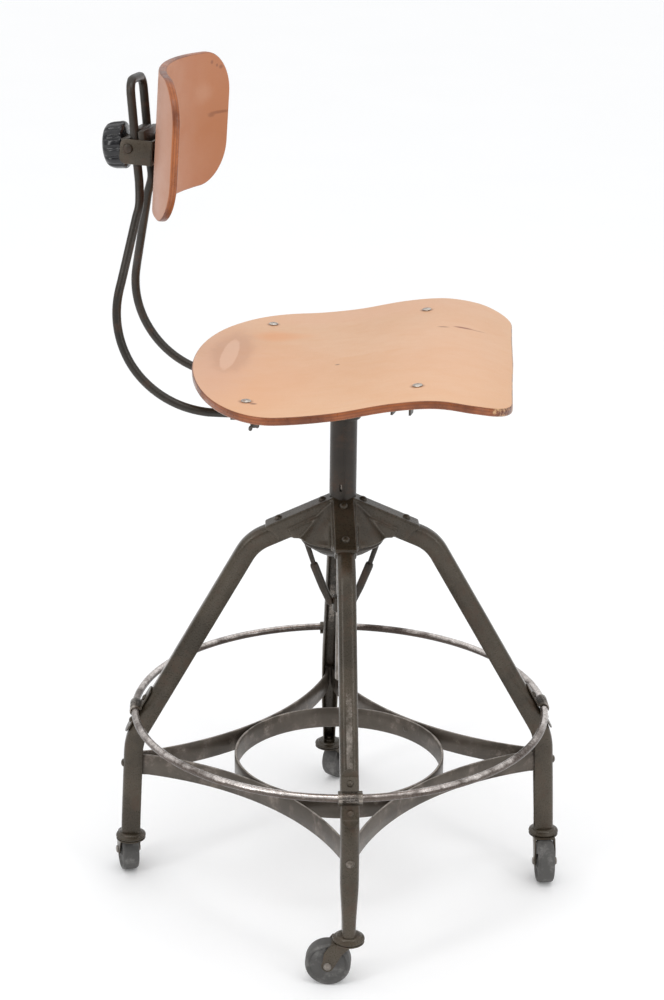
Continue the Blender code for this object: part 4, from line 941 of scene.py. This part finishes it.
def build_stretchers():
    middle = (HOOP_RADIUS + GAP * 1.5 + STRAP_THICK / 2) / math.sqrt(2)
    centre = middle + STRAP_ARC / math.sqrt(2)
    tail, edge = 0.0032, 0.2280
    start = math.degrees(math.atan2(tail - centre, edge - centre)) % 360
    end = math.degrees(math.atan2(edge - centre, tail - centre)) % 360
    bow = arc((centre, centre), STRAP_ARC, start, end, 56)
    for index, side in enumerate(SIDES):
        deep = index % 2 == 0
        foot = strap_face() - LEG_WALL - 0.0012 - STRAP_THICK / 2 - (0.0 if deep else STRAP_THICK + GAP)
        lap = -0.0055 if deep else -0.0010
        corner = 0.0035
        first = filleted((foot, lap), (foot, tail), (edge, tail), corner, 5)
        last = [(y, x) for x, y in reversed(first)]
        line = [(foot, lap)] + first + bow[1:-1] + last + [(lap, foot)]
        strap = swept(strap_section(), along([(x, y, STRAP_MIDDLE) for x, y in line]))
        following = SIDES[(index + 1) % 4]
        spot = middle - 0.0045 * 0.70
        head = moved(rivet(0.0036, 0.0020), at(spot, spot, STRAP_MIDDLE) @ about_z(math.radians(45))
            @ about_y(math.radians(-90)))
        piece(f"stretcher_{side}_strap", strap, "base", STRAP,
            (f"stretcher_{side}_{following}",), LEGS[side], strap_wear, 50)
        piece(f"stretcher_{side}_rivet", head, "base", STRAP, (), LEGS[side], lambda p: 0.5)
    t, h, ease = STRAP_THICK, STRAP_HEIGHT / 2, 0.0007
    inner = HOOP_RADIUS - t
    ring = turned([(inner, STRAP_MIDDLE - h + ease), (inner + ease, STRAP_MIDDLE - h),
        (HOOP_RADIUS - ease, STRAP_MIDDLE - h), (HOOP_RADIUS, STRAP_MIDDLE - h + ease),
        (HOOP_RADIUS, STRAP_MIDDLE + h - ease), (HOOP_RADIUS - ease, STRAP_MIDDLE + h),
        (inner + ease, STRAP_MIDDLE + h), (inner, STRAP_MIDDLE + h - ease)], 160)
    piece("hoop_strap", ring, "base", STRAP, ("stretcher_hoop",), BASE, strap_wear, 50)


# --- casters ------------------------------------------------------------------------------
def build_casters():
    half = WHEEL_WIDTH / 2
    crown_low, crown_high = 0.0504, 0.0523
    for side in SIDES:
        cup = turned([(0, 0.0528), (0.0150, 0.0526), (0.0170, 0.0532), (0.0175, 0.0542), (0.0170, 0.0556),
            (0.0150, 0.0566), (0.0138, 0.0570), (0.0132, 0.0582), (0.0120, 0.0590), (0.0085, 0.0592),
            (0.0, 0.0592)], 56, closed=False)
        ferrule = moved(rod(0.0088, 0.0560, 0.0612, 40, 0.0010), Matrix.Diagonal((1.0, 0.86, 1.0, 1.0)))
        piece(f"caster_cup_{side}_race", gathered(cup, ferrule), "base", PAINT,
            (f"caster_cup_{side}",), STANDS[side], lambda p: 0.35, 40)
        crown = turned([(0, crown_low), (0.0120, crown_low), (0.0158, crown_low - 0.0004),
            (0.0172, crown_low + 0.0003), (0.0170, crown_high - 0.0003), (0.0155, crown_high),
            (0, crown_high)], 48, closed=False)
        bridge = box((-0.0185, -0.0124, crown_low - 0.0002), (0.0050, 0.0124, crown_high - 0.0002), 0.0006)
        shapes = [crown, bridge, rod(0.0040, crown_high - 0.001, 0.0640, 24)]
        eye = arc((-TRAIL, WHEEL_RADIUS), 0.0068, 145, 335, 16)
        cheek = [(-0.0185, crown_high - 0.0006), (-0.0262, 0.0405)] + eye + [(-0.0060, 0.0400),
            (0.0058, crown_high - 0.0006)]
        for hand in (-1, 1):
            shapes.append(upright(cheek, 0.0009, hand * 0.0115, ease=0.0005))
        piece(f"caster_fork_{side}_horn", gathered(*shapes), f"caster_{side}", PAINT,
              (f"caster_fork_{side}",), SWIVELS[side], lambda p: 0.30, 40)
        hub = SWIVELS[side] @ at(-TRAIL, 0, WHEEL_RADIUS) @ ALONG_Y
        profile = [(0.0035, -half), (0.0068, -half), (0.0076, -half + 0.0006), (0.0082, -half + 0.0022),
            (0.0100, -half + 0.0030), (0.0190, -half + 0.0026), (0.0204, -half + 0.0014),
            (0.0212, -half + 0.0004), (0.0222, -half), (0.0238, -half + 0.0008), (0.0247, -half + 0.0022),
            (WHEEL_RADIUS, -half + 0.0040)]
        wheel = turned(profile + [(radius, -height) for radius, height in reversed(profile)], 72)
        piece(f"caster_wheel_{side}_tyre", wheel, f"wheel_{side}", TREAD,
            (f"caster_wheel_{side}",), hub, None, 30)
        head, tip = 0.0127, 0.0147
        axle = turned([(0, -tip), (0.0022, -tip + 0.0001), (0.0040, -tip + 0.0006), (0.0046, -head),
            (0.0030, -head), (0.0030, head), (0.0046, head), (0.0040, tip - 0.0006), (0.0022, tip - 0.0001),
            (0, tip)], 28, closed=False)
        piece(f"caster_axle_{side}_pin", axle, f"caster_{side}", WORN,
            (f"caster_axle_{side}",), hub, lambda p: 0.6)


# --- seat ---------------------------------------------------------------------------------
def seat_height(x):
    return smooth_line(SEAT_LINE, x)


def flat_panel(outline, thick, ease):
    """Flat panel with rounded rim: top on Z = 0."""
    bm = bmesh.new()
    top = bm.faces.new([bm.verts.new((x, y, 0.0)) for x, y in outline])
    made = bmesh.ops.extrude_face_region(bm, geom=[top])["geom"]
    bmesh.ops.translate(bm, vec=(0, 0, -thick), verts=verts_of(made))
    bmesh.ops.recalc_face_normals(bm, faces=bm.faces)
    rounded(bm, [edge for edge in bm.edges if abs(edge.verts[0].co.z - edge.verts[1].co.z) < 1e-6], ease, 5)
    return bm


def mapped(bm, thick):
    """Keep each point's flat place as the panel's map, and its depth as a share of the thickness."""
    depth = bm.verts.layers.float.new("depth")
    for vert in bm.verts:
        vert[depth] = -vert.co.z / thick
    flat = bm.loops.layers.uv.new("flat")
    for face in bm.faces:
        upward = face.normal.z
        face.material_index = 0 if upward > 0.80 else 1 if upward < -0.80 else 2
        for loop in face.loops:
            loop[flat].uv = loop.vert.co.xy


def sliced(bm, axis, stops):
    for stop in stops:
        middle = Vector((0, 0, 0))
        middle[axis] = stop
        normal = Vector((0, 0, 0))
        normal[axis] = 1.0
        bmesh.ops.bisect_plane(bm, geom=bm.verts[:] + bm.edges[:] + bm.faces[:], plane_co=middle,
            plane_no=normal, dist=1e-6)


def seat_outline():
    turn_x = SEAT_REAR + SEAT_ROUND
    half = [(SEAT_FRONT + 0.0010, 0.0), (SEAT_FRONT, 0.080)]
    half += arc((SEAT_FRONT - SEAT_CORNER, SEAT_HALF - SEAT_CORNER), SEAT_CORNER, 0, 90, 18)
    half += [(0.080, SEAT_HALF), (0.010, SEAT_HALF)]
    for i in range(45):
        angle = math.radians(90 + 2.0 * i)
        half.append((turn_x + SEAT_ROUND * math.cos(angle), SEAT_HALF * math.sin(angle)))
    return half + [(SEAT_REAR, 0.0)] + [(x, -y) for x, y in reversed(half[1:])]


def build_thumb_screw(hand):
    """Wing screw under a sleeve, left half turned."""
    low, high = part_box(f"thumb_screw_{hand}")
    shank = rod(0.0025, -0.0130, -ROD_RADIUS - GAP, 24)
    boss = rod(0.0040, -0.0150, -0.0105, 24, 0.0008)
    shapes = [shank, boss]
    for end in (-1, 1):
        leaf = [(0.0020 * end, -0.0108)] + arc((0.0062 * end, -0.0148), 0.0030, 60, 60 - 300 * end,
            10) + [(0.0020 * end, -0.0150)]
        shapes.append(upright(leaf, 0.0009, ease=0.0005))
    place = at((low.x + high.x) / 2, (low.y + high.y) / 2, ROD_HEIGHT) @ about_z(math.radians(60))
    piece(f"thumb_screw_{hand}_wing", gathered(*shapes), "seat", WORN,
        (f"thumb_screw_{hand}",), place, lambda p: 0.4)


def build_seat():
    panel = flat_panel(seat_outline(), SEAT_THICK, 0.0027)
    sliced(panel, 0, [SEAT_REAR + 0.004 * i for i in range(1, 90)])
    mapped(panel, SEAT_THICK)
    for vert in panel.verts:
        vert.co.z += seat_height(vert.co.x)

    def knocked(point):
        return 0.24 + 0.30 * smoothstep(0.14, 0.18, point.x) + 0.18 * smoothstep(-0.10, -0.16, point.x)

    piece("seat_plywood", panel, "seat", [SEAT_FACE, SEAT_UNDER, SEAT_EDGE], ("seat_panel",),
        COLUMN, knocked, 60)
    for corner, (x, y) in BOLTS.items():
        slope = math.atan((seat_height(x + 0.01) - seat_height(x - 0.01)) / 0.02)
        head = turned([(0, 0.0004), (0.0051, 0.0004), (0.0054, 0.0008), (0.0050, 0.0014), (0.0038, 0.0019),
                       (0.0020, 0.0022), (0, 0.0023)], 40, closed=False)
        head = cut(head, box((-0.0070, -0.0005, 0.0015), (0.0070, 0.0005, 0.0040), 0.0))
        set_down = at(0, 0, seat_height(x)) @ about_y(-slope)
        under = seat_height(x) - SEAT_THICK - 0.0045
        nut = slab(circle(0.0046, 6), under - 0.0042, under - 0.0002, 0.0005)
        shank = rod(0.0029, under - 0.0054, seat_height(x), 20)
        spin = about_z(math.radians(35 if "front" in corner else -20))
        piece(f"seat_bolt_{corner}_head", gathered(moved(head, set_down @ spin), nut, shank), "seat",
            BRIGHT, (f"seat_bolt_{corner}",), COLUMN @ at(x, y, 0), None, 40)
    for node in ("seat_iron_rear", "seat_iron_front", "seat_carrier"):
        eased_copy(node, f"{node}_pressing", PLATE, 0.0005, wear=lambda p: 0.2)
    socket = turned([(0, 0.5997), (0.0114, 0.5997), (0.0114, 0.5835), (0.0120, 0.5830), (0.0165, 0.5830),
        (0.0170, 0.5836), (0.0170, 0.5965), (0.0190, 0.5978), (0.0370, 0.5990), (0.0380, 0.6000),
        (0.0380, 0.6030), (0.0372, 0.6037), (0, 0.6037)], 64, closed=False)
    piece("swivel_socket_boss", socket, "seat", DARK, ("swivel_socket",), COLUMN)
    for hand in ("left", "right"):
        eased_copy(f"rod_sleeve_{hand}", f"rod_sleeve_{hand}_guide", DARK, 0.0004)
        build_thumb_screw(hand)


# --- back ---------------------------------------------------------------------------------
def rod_route(side):
    points = [(ROD_END, ROD_SPREAD, ROD_HEIGHT), (-0.045, ROD_SPREAD, ROD_HEIGHT),
        (-0.085, ROD_SPREAD, ROD_HEIGHT)]
    for x, z in arc((ROD_BEND_X, ROD_HEIGHT + ROD_BEND), ROD_BEND, 270, 180 - ROD_LEAN, 14):
        points.append((x, ROD_SPREAD - 0.10 * max(z - 0.640, 0.0) ** 1.1, z))
    start = points[-1]
    for i in range(1, 8):
        share = i / 8
        ease = share + 0.10 * math.sin(math.pi * share) * (0.5 - share)
        points.append((start[0] + (KINK[0] - start[0]) * share, start[1] + (HAIRPIN_HALF - start[1]) * ease,
                       start[2] + (KINK[1] - start[2]) * share))
    points = [(x, y * side, z) for x, y, z in points]
    for height in (KINK[1] + 0.006, KINK[1] + 0.022, CLAMP_Z, 0.900, HAIRPIN_TOP - HAIRPIN_CORNER - 0.002):
        points.append(tuple(hairpin_frame(height) @ Vector((0, side * HAIRPIN_HALF, 0))))
    for angle in (0, 30, 60, 90):
        drop = HAIRPIN_CORNER * (1 - math.sin(math.radians(angle)))
        inward = HAIRPIN_CORNER * (1 - math.cos(math.radians(angle)))
        points.append(tuple(hairpin_frame(HAIRPIN_TOP - drop) @ Vector((0, side * (HAIRPIN_HALF - inward),
            0))))
    return points


def build_rod():
    right, left = rod_route(-1), rod_route(1)
    route = smooth_route(right + left[::-1], 0.004)
    stations = []
    side = Vector((0, 0, 1))
    for i, point in enumerate(route):
        run = heading(route, i)
        side = (side - run * side.dot(run)).normalized()
        stations.append(axes(side, run.cross(side), run, point))
    bar = swept(circle(ROD_RADIUS, 24), stations)
    piece("back_rod_bar", bar, "rod", ROD_PAINT, ("back_rod",), COLUMN,
          lambda p: 0.16 + 0.20 * smoothstep(0.90, 0.93, p.z), 60)


def build_clamp():
    eased_copy("clamp_block", "clamp_block_body", DARK, 0.0004)
    eased_copy("clamp_jaw", "clamp_jaw_body", DARK, 0.0012)
    pins = []
    for side in (-1, 1):
        place = at(PIVOT_X, 0, 0) @ about_x(math.radians(-90 * side))
        pins.append(moved(rivet(0.0042, 0.0026), place @ at(0, 0, BRACKET_OUT + 0.0004)))
    piece("clamp_pivot_heads", gathered(*pins), "clamp", DARK, (), CLAMP, lambda p: 0.4)
    stud = rod(0.0031, -0.0255, 0.0040, 28)
    piece("knob_stud_shank", stud, "knob", BRIGHT, ("knob_stud",), CLAMP @ ALONG_X)
    profile = [(0.0, -0.0145), (0.0112, -0.0145), (0.0122, -0.0149), (0.0127, -0.0156), (0.0212, -0.0158),
        (0.0238, -0.0164), (0.0251, -0.0178), (0.0254, -0.0196), (0.0252, -0.0212), (0.0251, -0.0250),
        (0.0249, -0.0290), (0.0243, -0.0325), (0.0230, -0.0356), (0.0206, -0.0380), (0.0172, -0.0396),
        (0.0126, -0.0405), (0.0070, -0.0409), (0.0, -0.0410)]
    knob = turned(profile, KNOB_FLUTES * 12, closed=False)
    for vert in knob.verts:
        radius = math.hypot(vert.co.x, vert.co.y)
        if radius < 0.0150:
            continue
        wave = 0.5 - 0.5 * math.cos(KNOB_FLUTES * math.atan2(vert.co.y, vert.co.x))
        groove = smoothstep(0.55, 0.95, wave)
        depth = 0.0017 * groove * smoothstep(0.0195, 0.0230, radius) * smoothstep(-0.0378, -0.0330,
            vert.co.z) * smoothstep(-0.0172, -0.0190, vert.co.z)
        vert.co.x -= vert.co.x / radius * depth
        vert.co.y -= vert.co.y / radius * depth
    piece("clamp_knob_moulding", knob, "knob", BAKELITE, ("clamp_knob",), CLAMP @ ALONG_X, None,
        60)


def build_back():
    reach = PANEL_REAR - GAP - PIVOT_X
    low, high = -0.0165, 0.0100
    ear = ([(reach, low), (reach, high)] + arc((-0.0020, high - 0.0070), 0.0070, 90, 180, 6)
           + arc((-0.0020, low + 0.0070), 0.0070, 180, 270, 6))
    middle = (BRACKET_IN + BRACKET_OUT) / 2
    shapes = [box((reach - 0.0024, -BRACKET_OUT, low), (reach, BRACKET_OUT, high), 0.0007)]
    for side in (-1, 1):
        shapes.append(upright(ear, (BRACKET_OUT - BRACKET_IN) / 2, side * middle, ease=0.0007))
    piece("back_bracket_fold", gathered(*shapes), "back", PAINT, ("back_bracket",), TILT,
          lambda p: 0.30, 40)

    half, tall, corner = BACK_HALF, BACK_HEIGHT / 2, BACK_CORNER
    right = [(half, 0.0)] + arc((half - corner, tall - corner), corner, 0, 90, 18)
    right += [(x, tall + BACK_CROWN * (1 - (x / (half - corner)) ** 2)) for x in (0.085, 0.065, 0.045, 0.022)]
    top = right + [(0.0, tall + BACK_CROWN)] + [(-x, y) for x, y in reversed(right)]
    outline = top + [(x, -y) for x, y in reversed(top[1:-1])]
    panel = flat_panel(outline, BACK_THICK, 0.0026)
    sliced(panel, 0, [-half + 0.004 * i for i in range(1, 75)])
    mapped(panel, BACK_THICK)
    for vert in panel.verts:
        bend = vert.co.x / BACK_RADIUS
        radius = BACK_RADIUS - BACK_THICK - vert.co.z
        vert.co = Vector((BACK_RADIUS - radius * math.cos(bend), radius * math.sin(bend), vert.co.y))
    place = (TILT @ at(PANEL_REAR - PIVOT_X, BACK_SHIFT, BACK_RISE) @ about_z(BACK_TWIST)
             @ about_x(BACK_ROLL))
    piece("back_plywood", panel, "back", [BACK_FACE, BACK_REAR, BACK_EDGE], ("back_panel",),
        place, lambda p: 0.22, 60)


# --- stage --------------------------------------------------------------------------------
def build_stage():
    bm = bmesh.new()
    bmesh.ops.create_grid(bm, x_segments=2, y_segments=2, size=40.0)
    mesh = bpy.data.meshes.new("studio_floor")
    bm.to_mesh(mesh)
    bm.free()
    made, tree, shader = surface("studio_floor")
    where = add(tree, "ShaderNodeTexCoord").outputs["Object"]
    tone = mixed(tree, noise(tree, where, 3.0, 3.0, 0.5), colour((0.93, 0.935, 0.94)),
        colour((0.96, 0.96, 0.965)))
    tree.links.new(tone, shader.inputs["Base Color"])
    shader.inputs["Roughness"].default_value = 0.65
    shader.inputs["Emission Color"].default_value = (1.0, 1.0, 1.0, 1.0)
    shader.inputs["Emission Strength"].default_value = 0.07
    mesh.materials.append(made)
    floor = bpy.data.objects.new("studio_floor", mesh)
    bpy.context.scene.collection.objects.link(floor)


def light(name, place, target, size, power):
    lamp = bpy.data.lights.new(name, "AREA")
    lamp.shape = "RECTANGLE"
    lamp.size, lamp.size_y = size
    lamp.energy = power
    holder = bpy.data.objects.new(name, lamp)
    bpy.context.scene.collection.objects.link(holder)
    aim = Vector(target) - Vector(place)
    holder.matrix_world = Matrix.Translation(place) @ aim.to_track_quat("-Z", "Y").to_matrix().to_4x4()


def build_lights():
    world = bpy.data.worlds.new("studio")
    bpy.context.scene.world = world
    world.use_nodes = True
    tree = world.node_tree
    background = tree.nodes["Background"]
    where = add(tree, "ShaderNodeTexCoord").outputs["Generated"]
    split = add(tree, "ShaderNodeSeparateXYZ", Vector=where)
    ceiling = ramp(tree, split.outputs["Z"], 0.0, 0.8, 0.62, 1.10)
    toward = ramp(tree, split.outputs["Y"], -0.15, -0.85)
    low_down = ramp(tree, split.outputs["Z"], 0.75, 0.15)
    room = maths(tree, "SUBTRACT", 1.0, times(tree, times(tree, toward, low_down), 0.62))
    background.inputs["Color"].default_value = (0.99, 0.995, 1.0, 1.0)
    seen = add(tree, "ShaderNodeLightPath").outputs["Is Camera Ray"]
    tree.links.new(maths(tree, "MAXIMUM", times(tree, ceiling, room), seen), background.inputs["Strength"])
    light("overhead", (0.2, -0.9, 2.5), (0, 0, 0.4), (1.6, 0.35), 7)
    light("window", (-1.9, -1.9, 1.7), (0, 0, 0.5), (0.45, 1.6), 13)
    light("reflector", (1.9, -1.6, 1.2), (0, 0, 0.4), (0.35, 1.4), 8)


CAMERA_LENS = 125.626
CAMERA_PLACE = (0.1489, -2.448, 1.3441)      # from the foot of the column
CAMERA_HEADING = (-0.0656, 0.9978, 0.0)
CAMERA_DIP = math.radians(19.59)
CAMERA_ROLL = math.radians(0.73)


def build_camera():
    camera = bpy.data.cameras.new("camera")
    camera.sensor_fit = "HORIZONTAL"
    camera.sensor_width = 36.0
    camera.lens = CAMERA_LENS
    camera.clip_end = 50
    holder = bpy.data.objects.new("camera", camera)
    bpy.context.scene.collection.objects.link(holder)
    ahead = Vector(CAMERA_HEADING).normalized()
    aim = ahead * math.cos(CAMERA_DIP) - Vector((0, 0, math.sin(CAMERA_DIP)))
    facing = aim.to_track_quat("-Z", "Y").to_matrix().to_4x4()
    holder.matrix_world = COLUMN @ at(*CAMERA_PLACE) @ facing @ about_z(CAMERA_ROLL)
    bpy.context.scene.camera = holder
    bpy.context.scene.view_settings.view_transform = "Standard"


for build in (build_legs, build_hub, build_stays, build_column, build_ring, build_clips, build_stretchers,
              build_casters, build_seat, build_rod, build_clamp, build_back, build_stage, build_lights,
              build_camera):
    build()
